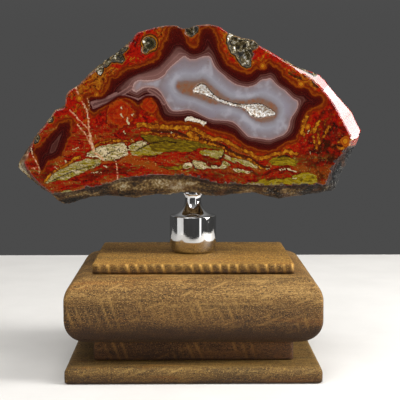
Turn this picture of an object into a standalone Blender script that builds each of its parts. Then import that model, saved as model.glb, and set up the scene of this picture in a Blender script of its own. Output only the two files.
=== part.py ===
"""A polished agate on a chromed post and a stepped wooden plinth.

Sizes are in millimetres and are turned into metres when a mesh is made. +Z is up, the polished face looks
along -Y, and the origin is the centre of the plinth's underside.
"""

import math
import random

import bmesh
import bpy
from mathutils import Vector, noise

MM = 0.001
GAP = 0.3  # between pieces that touch

# The plinth is four stacked boards. Its footprint is that of the foot plate and the bolster.
PLINTH_WIDTH = 127.0
PLINTH_DEPTH = 102.0
CORNER_RADIUS = 1.6
FOOT_TOP = 8.3
FOOT_EDGE = 3.0
FOOT_ARRIS = 0.8
NECK_INSET = 13.2
NECK_TOP = 17.9
BOLSTER_TOP = 52.4
BOLSTER_LOWER_ROUND = 12.8
BOLSTER_UPPER_ROUND = 11.4
BOARD_INSET = 12.9
BOARD_TOP = 57.4
BOARD_ARRIS = 0.5
ARC_STEPS = 8

# The post is one turning: a stud for the plinth, a cup, a bell, a neck with a flared top, and a spigot.
POST_Y = 3.0
POST_FOOT = BOARD_TOP + GAP
POST_TOP = 89.5
CUP_RADIUS = 12.5
CUP_FOOT_RADIUS = 10.2
CUP_ROUND_TOP = 64.2
CUP_TOP = 77.2
CUP_ARRIS = 0.6
CUP_STEPS = 5
NECK_RADIUS = 4.4
NECK_FOOT = 85.2
BELL_STEPS = 9
FLARE_RADIUS = 5.6
FLARE_FOOT = 86.6
FLARE_TOP = 88.9
FLARE_STEPS = 4
STUD_RADIUS = 3.0
STUD_DEPTH = 14.0
SPIGOT_RADIUS = 2.5
SPIGOT_RISE = 12.0
POST_SIDES = 40
SHARP_ANGLE = 35.0
HOLE_SIDES = 24
PROUD = 1.0  # how far a cutter stands out of what it cuts

# The agate: half a nodule, sawn and polished on one side. Its lip runs from the polished face's edge over to
# the rind, and its back is rounded and lumpy.
FACE_Y = -17.0
STONE_DEPTH = 43.0
STONE_CENTRE = (0.0, 131.0)
SEAT_RADIUS = 6.3
SEAT_CUT = 12.0
LIP_START = 25.0
LIP_STEPS = 3
# One ring of the rounded back for each number: only every so many-th point of the rim goes on to that ring.
BACK_STRIDES = (1, 1, 1, 1, 1, 2, 2, 2, 4, 4, 12)
BACK_SHARE = 0.8
RIM_SPLITS = 2
LUMP_SIZE = 19.0
LUMP_HEIGHT = 3.4
LEDGE_SIZE = 8.0
LEDGE_HEIGHT = 1.6
LEDGES_FROM = Vector((9, 4, 2))  # where in the noise the ledges are read
LIP_ROUGHNESS = 0.3  # the lumps' share at the rind
ROUGH_FALL = 9.0  # a lip that falls this far or more is as rough as any

# The rim, clockwise from the left tip as seen from the front. Each row holds the rind's x and z, the
# polished face's x and z, and how far behind the face the rind lies there.
RIM = (
    (-90.0, 104.5, -84.5, 106.5, 3),
    (-89.5, 108.0, -84.5, 108.5, 3),
    (-85.0, 114.5, -83.0, 114.0, 3),
    (-80.5, 121.5, -79.0, 120.5, 3),
    (-77.0, 125.5, -75.5, 125.0, 3),
    (-73.5, 130.5, -72.0, 129.5, 3),
    (-71.0, 134.0, -69.5, 133.0, 3),
    (-66.0, 135.5, -65.5, 134.0, 4),
    (-66.0, 139.5, -64.5, 139.0, 4),
    (-64.0, 143.0, -63.0, 142.5, 3),
    (-60.5, 145.5, -59.5, 144.5, 3),
    (-58.0, 147.5, -57.0, 146.5, 3),
    (-54.0, 151.5, -53.0, 150.5, 3),
    (-48.5, 156.5, -46.5, 154.5, 4),
    (-44.0, 159.5, -42.0, 157.5, 4),
    (-37.5, 164.5, -36.0, 163.0, 4),
    (-34.5, 166.5, -33.0, 165.0, 4),
    (-31.0, 170.5, -30.0, 169.5, 3),
    (-28.0, 173.0, -27.5, 172.0, 2),
    (-21.5, 174.5, -21.5, 174.0, 2),
    (-14.5, 176.0, -14.5, 175.5, 2),
    (-8.0, 176.0, -8.0, 175.5, 2),
    (-5.0, 174.5, -5.0, 174.0, 3),
    (1.5, 176.5, 1.5, 175.5, 3),
    (8.5, 177.0, 8.5, 176.0, 2),
    (14.0, 175.5, 14.0, 174.5, 2),
    (18.5, 172.5, 18.0, 171.5, 3),
    (23.5, 170.5, 22.5, 168.5, 4),
    (31.5, 169.0, 30.0, 167.0, 4),
    (34.5, 166.0, 34.0, 165.0, 3),
    (42.5, 161.5, 41.5, 160.5, 3),
    (47.5, 158.5, 46.0, 157.5, 3),
    (53.0, 156.0, 50.5, 154.5, 4),
    (58.0, 154.0, 54.5, 151.5, 5),
    (65.5, 151.0, 60.0, 147.5, 5),
    (70.5, 145.5, 65.5, 142.5, 5),
    (78.0, 137.0, 70.5, 136.0, 6),
    (82.5, 131.5, 74.0, 129.5, 6),
    (85.0, 126.5, 76.5, 125.0, 6),
    (87.0, 122.5, 78.5, 121.5, 6),
    (86.0, 118.5, 80.5, 118.5, 6),
    (83.0, 111.5, 78.5, 113.0, 7),
    (80.5, 106.5, 74.5, 108.5, 9),
    (77.5, 99.5, 71.0, 102.0, 11),
    (75.5, 91.5, 68.0, 95.0, 12),
    (69.5, 89.5, 62.0, 94.5, 12),
    (56.5, 88.0, 53.0, 94.5, 12),
    (45.5, 86.0, 42.5, 94.5, 12),
    (35.5, 88.0, 33.5, 94.5, 12),
    (27.0, 89.5, 25.0, 95.0, 12),
    (14.0, 88.0, 12.5, 95.5, 12),
    (6.5, 88.5, 5.5, 97.5, 13),
    (-1.5, 90.0, -1.5, 99.5, 13),
    (-10.0, 88.5, -10.0, 100.0, 13),
    (-22.5, 87.5, -21.0, 100.5, 13),
    (-29.5, 86.5, -27.5, 99.5, 13),
    (-38.5, 87.0, -36.5, 98.5, 13),
    (-45.0, 88.0, -43.5, 95.5, 12),
    (-56.5, 86.5, -54.0, 93.0, 11),
    (-62.0, 84.5, -59.5, 92.0, 10),
    (-67.0, 83.5, -65.5, 91.5, 9),
    (-70.0, 85.0, -69.0, 90.5, 7),
    (-73.0, 88.5, -72.0, 90.5, 5),
    (-77.0, 91.5, -75.5, 93.0, 4),
    (-84.0, 97.0, -81.0, 98.5, 4),
    (-88.0, 101.0, -83.5, 102.0, 4),
)

# The vug is two small hollows joined by a fissure. Each station along it has an x, a z, a half width and
# a depth.
VUG = (
    (0.1, 142.8, 0.8, 1.7),
    (2.0, 143.3, 1.8, 2.6),
    (4.3, 144.0, 2.9, 3.6),
    (6.5, 142.6, 2.0, 2.8),
    (9.5, 140.5, 1.2, 2.1),
    (13.2, 138.4, 0.85, 1.8),
    (17.0, 136.9, 0.85, 1.8),
    (21.7, 135.7, 0.85, 1.8),
    (25.2, 135.3, 1.0, 1.9),
    (27.5, 134.8, 1.5, 2.2),
    (30.0, 133.6, 3.1, 3.6),
    (33.0, 133.1, 3.8, 4.4),
    (36.0, 132.5, 3.1, 3.8),
    (39.0, 131.9, 2.0, 2.6),
    (41.8, 131.2, 0.8, 1.7),
)
VUG_SPLITS = 2
VUG_ARC_STEPS = 6
CRYSTAL_SPACING = 1.35
CRYSTAL_HEIGHT = 1.0
CRYSTAL_SHARE = 0.3
CRYSTAL_RECESS = 0.25
CRYSTAL_LEAN = 0.3
CRYSTAL_JITTER = 0.15
HOLLOW_SHARE = 0.25
FOOT_RANGE = (0.8, 1.1)  # where the crystals' feet and tips lie below the bed, in crystal heights
TIP_RANGE = (-0.3, 0.2)
HEXAGON = ((0, 2), (1, 1), (1, -1), (0, -2), (-1, -1), (-1, 1))
BED_LOW = (-2.0, 127.5)
BED_HIGH = (44.0, 148.5)
BED_BACK = 8.0
BED_SPLITS = 6
CRUST_SEED = 11

# Open pits in the face: x, z, radius and depth.
PITS = (
    (-22.0, 166.4, 2.9, 1.3),
    (-24.6, 163.6, 1.8, 1.0),
    (-1.6, 173.2, 2.8, 1.5),
    (20.5, 168.2, 2.8, 1.6),
    (24.0, 166.0, 3.6, 1.9),
    (27.6, 161.2, 3.0, 1.7),
    (30.6, 166.4, 2.6, 1.5),
)
PIT_RANGE = (0.86, 1.08)
PIT_SEED = 5


def material(name, colour, roughness, metallic=0.0):
    made = bpy.data.materials.new(name)
    made.use_nodes = True
    shader = made.node_tree.nodes["Principled BSDF"]
    shader.inputs["Base Color"].default_value = (*colour, 1.0)
    shader.inputs["Roughness"].default_value = roughness
    shader.inputs["Metallic"].default_value = metallic
    made.diffuse_color = (*colour, 1.0)
    return made


def solid(name, vertices, faces, finish=None):
    """An object from vertices in millimetres and faces, with its normals pointing out."""
    mesh = bpy.data.meshes.new(name)
    mesh.from_pydata([Vector(v) * MM for v in vertices], [], faces)
    work = bmesh.new()
    work.from_mesh(mesh)
    bmesh.ops.recalc_face_normals(work, faces=work.faces)
    work.to_mesh(mesh)
    work.free()
    made = bpy.data.objects.new(name, mesh)
    bpy.context.scene.collection.objects.link(made)
    if finish:
        mesh.materials.append(finish)
    return made


def cutter(name, vertices, faces):
    made = solid(name, vertices, faces)
    made.hide_render = True
    made.display_type = "WIRE"
    return made


def boolean(target, other, operation="DIFFERENCE"):
    cut = target.modifiers.new(other.name, "BOOLEAN")
    cut.operation = operation
    cut.object = other


def stacked_rings(rings, strides=None):
    """Vertices and faces of a closed body made of rings with the same number of points, capped at both ends.

    A ring with a stride keeps only every so many-th of its points.
    """
    count = len(rings[0])
    strides = strides or [1] * len(rings)
    vertices, index = [], {}
    for level, (ring, stride) in enumerate(zip(rings, strides)):
        for i, point in enumerate(ring):
            if i % stride == 0:
                vertices.append(point)
            index[level, i] = len(vertices) - 1
    faces = [tuple(index[0, i] for i in range(count))]
    for level in range(1, len(rings)):
        for i in range(count):
            j = (i + 1) % count
            corners = [index[level - 1, i], index[level - 1, j], index[level, j], index[level, i]]
            corners = [corner for k, corner in enumerate(corners) if corner != corners[k - 1]]
            if len(corners) > 2:
                faces.append(tuple(corners))
    last = len(rings) - 1
    faces.append(tuple(index[last, i] for i in range(0, count, strides[last])))
    return vertices, faces


def catmull_rom(before, start, end, after, t):
    """The value a share t of the way from start to end, on the smooth curve through all four."""
    slope = end - before
    square = 2 * before - 5 * start + 4 * end - after
    cube = 3 * start - before - 3 * end + after
    return start + (slope * t + square * t**2 + cube * t**3) / 2


def smooth_through(rows, splits, closed):
    """Rows of numbers and the rows between them on a smooth curve, with that many spans between each two."""
    count = len(rows)
    found = []
    for i in range(count if closed else count - 1):
        near = [(i + k) % count if closed else min(max(i + k, 0), count - 1) for k in (-1, 0, 1, 2)]
        a, b, c, d = (rows[k] for k in near)
        for step in range(splits):
            t = step / splits
            found.append(tuple(catmull_rom(*four, t) for four in zip(a, b, c, d)))
    if not closed:
        found.append(rows[-1])
    return found


def arc(centre, radius, start, end, steps):
    """Points (inset, z) of an arc, by angle in degrees from straight outwards."""
    points = []
    for i in range(steps + 1):
        angle = math.radians(start + (end - start) * i / steps)
        points.append((centre[0] - radius * math.cos(angle), centre[1] + radius * math.sin(angle)))
    return points


def board(name, profile, finish):
    """A board with slightly rounded corners, drawn in by the profile's inset at each height."""
    rings = []
    for inset, z in profile:
        half_width = PLINTH_WIDTH / 2 - inset
        half_depth = PLINTH_DEPTH / 2 - inset
        ring = []
        for quarter, (side_x, side_y) in enumerate(((1, 1), (-1, 1), (-1, -1), (1, -1))):
            for step in range(4):
                angle = math.radians(90 * quarter + 30 * step)
                x = side_x * (half_width - CORNER_RADIUS) + CORNER_RADIUS * math.cos(angle)
                y = side_y * (half_depth - CORNER_RADIUS) + CORNER_RADIUS * math.sin(angle)
                ring.append((x, y, z))
        rings.append(ring)
    return solid(name, *stacked_rings(rings), finish)


def turned(profile, sides):
    """Vertices and faces of a solid turned about the post's axis, from (radius, z) points."""
    rings = []
    for radius, z in profile:
        ring = []
        for i in range(sides):
            angle = 2 * math.pi * i / sides
            ring.append((radius * math.cos(angle), POST_Y + radius * math.sin(angle), z))
        rings.append(ring)
    return stacked_rings(rings)


def foot_plate(finish):
    lower = arc((FOOT_ARRIS, FOOT_ARRIS), FOOT_ARRIS, -90, 0, 2)
    upper = arc((FOOT_EDGE, FOOT_TOP - FOOT_EDGE), FOOT_EDGE, 0, 90, ARC_STEPS)
    return board("foot_plate", lower + upper, finish)


def neck_block(finish):
    return board("neck_block", [(NECK_INSET, FOOT_TOP + GAP), (NECK_INSET, NECK_TOP)], finish)


def bolster(finish):
    foot = NECK_TOP + GAP
    lower = arc((BOLSTER_LOWER_ROUND, foot + BOLSTER_LOWER_ROUND), BOLSTER_LOWER_ROUND, -90, 0, ARC_STEPS)
    top = BOLSTER_TOP - GAP
    upper = arc((BOLSTER_UPPER_ROUND, top - BOLSTER_UPPER_ROUND), BOLSTER_UPPER_ROUND, 0, 90, ARC_STEPS)
    return board("bolster", lower + upper, finish)


def top_board(finish):
    foot = BOLSTER_TOP
    edge = arc((BOARD_INSET + BOARD_ARRIS, BOARD_TOP - BOARD_ARRIS), BOARD_ARRIS, 0, 90, 2)
    return board("top_board", [(BOARD_INSET, foot)] + edge, finish)


def stud_hole():
    """The blind hole for the post's stud, through the top board and into the bolster."""
    radius = STUD_RADIUS + GAP
    foot = POST_FOOT - STUD_DEPTH - GAP
    return cutter("stud_hole", *turned([(radius, foot), (radius, BOARD_TOP + PROUD)], HOLE_SIDES))


def post_profile():
    """(radius, z) points from the stud's foot to the spigot's top."""
    outline = [(STUD_RADIUS, POST_FOOT - STUD_DEPTH), (STUD_RADIUS, POST_FOOT)]
    for step in range(CUP_STEPS + 1):  # the cup's rounded foot
        angle = math.radians(90 * step / CUP_STEPS)
        radius = CUP_FOOT_RADIUS + (CUP_RADIUS - CUP_FOOT_RADIUS) * math.sin(angle)
        outline.append((radius, CUP_ROUND_TOP - (CUP_ROUND_TOP - POST_FOOT) * math.cos(angle)))
    for inset, z in arc((CUP_ARRIS, CUP_TOP - CUP_ARRIS), CUP_ARRIS, 0, 90, 3):
        outline.append((CUP_RADIUS - inset, z))
    reach = CUP_RADIUS - CUP_ARRIS - NECK_RADIUS
    for step in range(1, BELL_STEPS + 1):  # a hollow curve, flat at the cup's rim and upright at the neck
        angle = math.radians(90 * step / BELL_STEPS)
        radius = NECK_RADIUS + reach * (1 - math.sin(angle))
        outline.append((radius, NECK_FOOT - (NECK_FOOT - CUP_TOP) * math.cos(angle)))
    for step in range(FLARE_STEPS + 1):  # the neck opens to the flat top that the stone sits on
        angle = math.radians(90 * step / FLARE_STEPS)
        radius = FLARE_RADIUS - (FLARE_RADIUS - NECK_RADIUS) * math.cos(angle)
        outline.append((radius, FLARE_FOOT + (FLARE_TOP - FLARE_FOOT) * math.sin(angle)))
    outline.append((FLARE_RADIUS, POST_TOP))
    return outline + [(SPIGOT_RADIUS, POST_TOP), (SPIGOT_RADIUS, POST_TOP + SPIGOT_RISE)]


def chrome_post(finish):
    made = solid("chrome_post", *turned(post_profile(), POST_SIDES), finish)
    made.data.shade_smooth()
    made.data.set_sharp_from_angle(angle=math.radians(SHARP_ANGLE))
    return made


def lumpy(point, amount):
    """The point moved away from the stone's middle by lumps and stepped ledges."""
    x, y, z = point
    away = Vector((x - STONE_CENTRE[0], 1.4 * (y - FACE_Y), z - STONE_CENTRE[1])).normalized()
    lump = noise.noise(Vector(point) / LUMP_SIZE)
    ledge = round(2 * noise.noise(Vector(point) / LEDGE_SIZE + LEDGES_FROM)) / 2
    return Vector(point) + away * amount * (LUMP_HEIGHT * lump + LEDGE_HEIGHT * ledge)


def eased(values, reach):
    """Values round a ring, each replaced by the mean of those within reach of it."""
    count = len(values)
    span = range(-reach, reach + 1)
    return [sum(values[(i + k) % count] for k in span) / len(span) for i in range(count)]


def stone_rings():
    """Rings from the polished face's edge over the lip to the rind, and on over the rounded back."""
    rim = smooth_through(RIM, RIM_SPLITS, closed=True)
    rings = []
    for step in range(LIP_STEPS + 1):
        angle = math.radians(LIP_START + (90 - LIP_START) * step / LIP_STEPS)
        start = math.radians(LIP_START)
        out = (math.sin(angle) - math.sin(start)) / (1 - math.sin(start))
        back = 1 - math.cos(angle) / math.cos(start)
        ring = []
        for rind_x, rind_z, face_x, face_z, fall in rim:
            point = (face_x + (rind_x - face_x) * out, FACE_Y + fall * back, face_z + (rind_z - face_z) * out)
            ring.append(lumpy(point, LIP_ROUGHNESS * step / LIP_STEPS * min(1.0, fall / ROUGH_FALL)))
        rings.append(ring)
    rind_xs = [row[0] for row in rim]
    rind_zs = [row[1] for row in rim]
    falls = [row[4] for row in rim]
    for step in range(1, len(BACK_STRIDES) + 1):
        angle = math.radians(90 * step / (len(BACK_STRIDES) + 0.5))
        share = math.cos(angle) ** BACK_SHARE
        ring = []
        for x, z, fall in zip(eased(rind_xs, step), eased(rind_zs, step), eased(falls, step)):
            x = STONE_CENTRE[0] + (x - STONE_CENTRE[0]) * share
            z = STONE_CENTRE[1] + (z - STONE_CENTRE[1]) * share
            y = FACE_Y + fall + (STONE_DEPTH - fall) * math.sin(angle)
            ring.append(lumpy((x, y, z), min(1.0, LIP_ROUGHNESS + step / 4)))
        rings.append(ring)
    return rings


def cross_sections(grow):
    """Rings across the vug's stations, each a half ellipse closed by two points in front of the face."""
    line = smooth_through(VUG, VUG_SPLITS, closed=False)
    rings = []
    for i, (x, z, half, depth) in enumerate(line):
        before, after = line[max(i - 1, 0)], line[min(i + 1, len(line) - 1)]
        along = Vector((after[0] - before[0], after[1] - before[1])).normalized()
        across = Vector((-along.y, along.x))
        half, depth = half + grow, depth + grow
        ring = []
        for step in range(VUG_ARC_STEPS + 1):
            angle = math.pi * step / VUG_ARC_STEPS
            side = half * math.cos(angle)
            ring.append((x + across.x * side, FACE_Y + depth * math.sin(angle), z + across.y * side))
        for side in (-half, half):
            ring.append((x + across.x * side, FACE_Y - PROUD, z + across.y * side))
        rings.append(ring)
    return rings


def pit_cutter(number, x, z, radius, depth, chance):
    """A low many-faced bowl, sunk into the face."""
    work = bmesh.new()
    bmesh.ops.create_icosphere(work, subdivisions=2, radius=1.0)
    for vertex in work.verts:
        vertex.co *= chance.uniform(*PIT_RANGE)
        vertex.co = Vector((vertex.co.x * radius, vertex.co.y * depth, vertex.co.z * radius))
        vertex.co += Vector((x, FACE_Y, z))
    vertices = [tuple(v.co) for v in work.verts]
    faces = [tuple(v.index for v in f.verts) for f in work.faces]
    work.free()
    return cutter(f"pit_{number}", vertices, faces)


def agate(finish):
    """The stone, with its vug, its pits, and a flat seat and a drilled hole for the post."""
    strides = (1,) * (LIP_STEPS + 1) + BACK_STRIDES
    made = solid("agate", *stacked_rings(stone_rings(), strides), finish)
    boolean(made, cutter("vug_hollow", *stacked_rings(cross_sections(0.0))))
    chance = random.Random(PIT_SEED)
    for number, pit in enumerate(PITS, 1):
        boolean(made, pit_cutter(number, *pit, chance))
    seat, hole = POST_TOP + GAP, SPIGOT_RADIUS + GAP
    profile = [(SEAT_RADIUS, seat - SEAT_CUT), (SEAT_RADIUS, seat), (hole, seat), (hole, seat + SPIGOT_RISE)]
    boolean(made, cutter("seat_and_hole", *turned(profile, HOLE_SIDES)))
    return made


def hollow_at(x, z, line):
    """Where the crystals lie at a point: how far their tips are behind the face, and how tall they are."""
    nearest = min(line, key=lambda station: (station[0] - x) ** 2 + (station[1] - z) ** 2)
    share = min(1.0, math.hypot(nearest[0] - x, nearest[1] - z) / nearest[2])
    recess = CRYSTAL_RECESS + HOLLOW_SHARE * nearest[3] * (1 - share**2)
    return recess, min(CRYSTAL_HEIGHT, CRYSTAL_SHARE * nearest[3])


def crystal_bed():
    """A slab larger than the vug, whose front is a honeycomb of six-sided points."""
    chance = random.Random(CRUST_SEED)
    line = smooth_through(VUG, BED_SPLITS, closed=False)
    half_column = CRYSTAL_SPACING / 2
    third_row = CRYSTAL_SPACING / math.sqrt(12)
    vertices, faces = [], []
    corners, edges = {}, set()

    def corner(column, row):
        """The index of a corner's front point. Its back point is the next one."""
        if (column, row) not in corners:
            x = BED_LOW[0] + column * half_column
            z = BED_LOW[1] + row * third_row
            recess, height = hollow_at(x, z, line)
            x += chance.uniform(-CRYSTAL_JITTER, CRYSTAL_JITTER)
            z += chance.uniform(-CRYSTAL_JITTER, CRYSTAL_JITTER)
            corners[column, row] = len(vertices)
            vertices.append((x, FACE_Y + recess + height * chance.uniform(*FOOT_RANGE), z))
            vertices.append((x, FACE_Y + BED_BACK, z))
        return corners[column, row]

    for line_number in range(int((BED_HIGH[1] - BED_LOW[1]) / (3 * third_row))):
        row = 3 * line_number
        for column in range(line_number % 2, int((BED_HIGH[0] - BED_LOW[0]) / half_column), 2):
            ring = [corner(column + right, row + up) for right, up in HEXAGON]
            x = BED_LOW[0] + column * half_column
            z = BED_LOW[1] + row * third_row
            recess, height = hollow_at(x, z, line)
            x += chance.uniform(-CRYSTAL_LEAN, CRYSTAL_LEAN)
            z += chance.uniform(-CRYSTAL_LEAN, CRYSTAL_LEAN)
            tip = len(vertices)
            vertices.append((x, FACE_Y + recess + height * chance.uniform(*TIP_RANGE), z))
            for a, b in zip(ring, ring[1:] + ring[:1]):
                faces.append((a, b, tip))
                edges.add((a, b))
            faces.append(tuple(index + 1 for index in reversed(ring)))
    for a, b in sorted(edges):
        if (b, a) not in edges:
            faces.append((b, a, a + 1, b + 1))
    return vertices, faces


def druse_crust(finish):
    """The crystals that line both hollows and the fissure: one crust, a gap inside the vug's wall."""
    made = solid("druse_crust", *stacked_rings(cross_sections(-GAP)), finish)
    boolean(made, cutter("crystal_bed", *crystal_bed()), "INTERSECT")
    return made


def main():
    for old in list(bpy.data.objects):
        bpy.data.objects.remove(old)
    wood = material("brown_wood", (0.30, 0.17, 0.07), 0.6)
    metal = material("chrome", (0.80, 0.80, 0.80), 0.08, 1.0)
    stone = material("red_agate", (0.42, 0.07, 0.02), 0.2)
    quartz = material("white_druse", (0.85, 0.83, 0.80), 0.15)

    foot_plate(wood)
    neck_block(wood)
    hole = stud_hole()
    boolean(bolster(wood), hole)
    boolean(top_board(wood), hole)
    chrome_post(metal)
    agate(stone)
    druse_crust(quartz)


main()
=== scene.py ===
"""A polished agate on a chromed post and a stepped wooden plinth, dressed for its picture.

Sizes are in millimetres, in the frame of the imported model, and are turned into metres when a mesh is made.
+Z is up and the polished face looks along -Y. The agate's drawing is held as outlines and strokes on its
face; how far each point of the stone is from them drives its colours.
"""

import math
import random

import bmesh
import bpy
import numpy as np
from mathutils import Matrix, Vector, noise


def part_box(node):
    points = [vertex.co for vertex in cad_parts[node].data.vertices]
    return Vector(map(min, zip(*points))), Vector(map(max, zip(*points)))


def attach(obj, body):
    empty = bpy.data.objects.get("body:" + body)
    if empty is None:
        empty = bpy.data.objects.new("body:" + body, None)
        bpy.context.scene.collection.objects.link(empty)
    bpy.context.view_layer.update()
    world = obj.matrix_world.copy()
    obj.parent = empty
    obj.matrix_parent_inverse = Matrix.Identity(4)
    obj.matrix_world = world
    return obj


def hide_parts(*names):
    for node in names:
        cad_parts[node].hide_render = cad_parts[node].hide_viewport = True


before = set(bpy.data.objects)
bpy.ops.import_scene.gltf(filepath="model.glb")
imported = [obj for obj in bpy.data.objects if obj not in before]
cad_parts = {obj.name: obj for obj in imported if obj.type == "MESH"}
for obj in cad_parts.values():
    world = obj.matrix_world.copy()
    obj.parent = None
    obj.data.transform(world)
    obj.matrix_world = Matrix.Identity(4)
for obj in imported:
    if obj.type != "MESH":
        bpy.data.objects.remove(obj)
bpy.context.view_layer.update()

MM = 0.001

# The stone
FACE_Y = -17.0
STONE_VOXEL = 0.5
BACK_FROM = 4.0  # the rough back starts this far behind the face
TRIANGLES_KEPT = 0.5  # of the whole stone's; those that go are taken from the rough back
FLAT_WITHIN = 0.45  # points this near the sawn face are laid on it
BEVEL_X = 44.0  # the lip right of here and above BEVEL_Z is polished too
BEVEL_Z = 116.0
CHAMFER_X = 28.0  # the lip is polished a little from here on
POLISHED_EDGE = 0.3  # how far the polish reaches round the face's edge elsewhere
LOW_EDGE_Z = 116.0  # below here and right of LOW_EDGE_X the rind breaks into the face's edge
LOW_EDGE_X = -74.0
HALO_REACH = 2.5  # the halo's layers run this far in from its outline
SIDE_REACH = 4.0  # and the small chamber's this far
RED_REACH = 5.0  # each step of the jasper's growth is this wide
OUT_OF_REACH = 9.0  # a field's value where its drawing doesn't apply

# The plinth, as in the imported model
PLINTH_WIDTH = 127.0
PLINTH_DEPTH = 102.0
CORNER_RADIUS = 1.6
FOOT_TOP = 8.3
FOOT_EDGE = 3.0
FOOT_ARRIS = 0.8
NECK_INSET = 13.2
NECK_TOP = 17.9
BOLSTER_TOP = 52.4
BOLSTER_LOWER_ROUND = 12.8
BOLSTER_UPPER_ROUND = 11.4
BOARD_INSET = 12.9
BOARD_TOP = 57.4
BOARD_ARRIS = 0.5
GAP = 0.3
FACE_GAP = 0.02  # between faces that would else lie in one plane

# The post
POST_Y = 3.0
POST_FOOT = BOARD_TOP + GAP
POST_TOP = 89.5
CUP_RADIUS = 12.5
CUP_FOOT_RADIUS = 10.2
CUP_ROUND_TOP = 64.2
CUP_TOP = 77.2
CUP_ARRIS = 0.6
NECK_RADIUS = 4.4
NECK_FOOT = 85.2
FLARE_RADIUS = 5.6
FLARE_FOOT = 86.6
FLARE_TOP = 88.9
STUD_RADIUS = 3.0
STUD_DEPTH = 14.0
SPIGOT_RADIUS = 2.5
SPIGOT_RISE = 12.0
POST_SIDES = 96
SHARP_ANGLE = 35.0

# The agate's drawing on its face, as (x, z). First the outlines of its bands, from the vug outwards.
HALO = (
    (-8.7, 145.9), (-7.9, 147.7), (-4.6, 148.2), (-1.1, 148.2), (2.0, 148.4), (5.0, 149.2), (7.1, 148.2),
    (9.1, 146.2), (11.6, 143.9), (14.2, 141.9), (16.7, 140.1), (19.3, 138.8), (22.9, 138.6), (26.9, 138.3),
    (30.5, 139.1), (34.1, 139.8), (36.6, 138.8), (39.2, 137.8), (41.7, 136.3), (43.3, 134.3),
    (43.6, 132.2), (42.8, 129.7), (40.8, 127.7), (37.7, 126.9), (34.7, 126.6), (32.1, 127.7),
    (29.5, 129.2), (27.0, 131.7), (24.4, 133.5), (21.3, 134.5), (17.8, 135.3), (14.2, 136.0),
    (10.6, 136.0), (7.6, 136.8), (4.5, 138.1), (1.5, 139.3), (-1.6, 140.1), (-4.6, 140.9), (-7.2, 142.4),
    (-8.7, 144.1),
)
GREY = (
    (-31.4, 143.9), (-30.5, 145.9), (-29.6, 147.4), (-28.2, 148.2), (-27.0, 148.6), (-24.9, 148.2),
    (-22.4, 148.3), (-19.9, 148.4), (-17.8, 148.9), (-16.1, 149.9), (-14.5, 151.1), (-13.3, 153.0),
    (-11.7, 154.8), (-9.7, 156.5), (-7.2, 158.6), (-5.1, 160.3), (-3.9, 160.5), (-1.6, 158.8),
    (1.5, 158.8), (4.0, 160.0), (6.0, 160.5), (7.8, 160.4), (9.1, 159.5), (9.9, 157.8), (10.9, 155.5),
    (12.6, 153.3), (15.2, 151.2), (17.7, 148.9), (20.0, 147.2), (22.3, 146.1), (24.9, 145.4),
    (27.9, 144.9), (30.5, 145.6), (32.5, 146.7), (34.0, 148.1), (35.3, 148.7), (37.1, 148.8),
    (39.1, 149.5), (40.1, 148.7), (41.9, 146.7), (44.2, 144.8), (46.8, 143.2), (48.8, 141.1),
    (50.9, 139.1), (53.1, 138.0), (53.7, 136.6), (53.5, 134.5), (52.2, 132.2), (50.5, 129.9),
    (49.5, 127.7), (49.2, 125.1), (48.2, 122.6), (46.2, 120.5), (43.4, 119.5), (41.1, 118.5),
    (39.3, 118.0), (36.8, 118.3), (33.7, 118.8), (30.6, 119.1), (28.0, 119.8), (26.2, 121.5),
    (24.4, 123.6), (22.4, 125.6), (20.3, 127.2), (17.8, 127.8), (14.2, 127.9), (10.6, 128.2), (7.6, 128.9),
    (5.0, 130.2), (2.5, 131.5), (-0.1, 132.8), (-2.6, 133.4), (-5.2, 132.9), (-8.2, 132.6), (-10.8, 133.0),
    (-12.3, 134.5), (-13.5, 136.8), (-14.8, 139.3), (-16.1, 141.6), (-17.9, 143.5), (-20.1, 144.6),
    (-22.9, 144.8), (-25.2, 144.3), (-27.3, 143.2), (-28.8, 142.2), (-30.3, 142.7),
)
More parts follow.
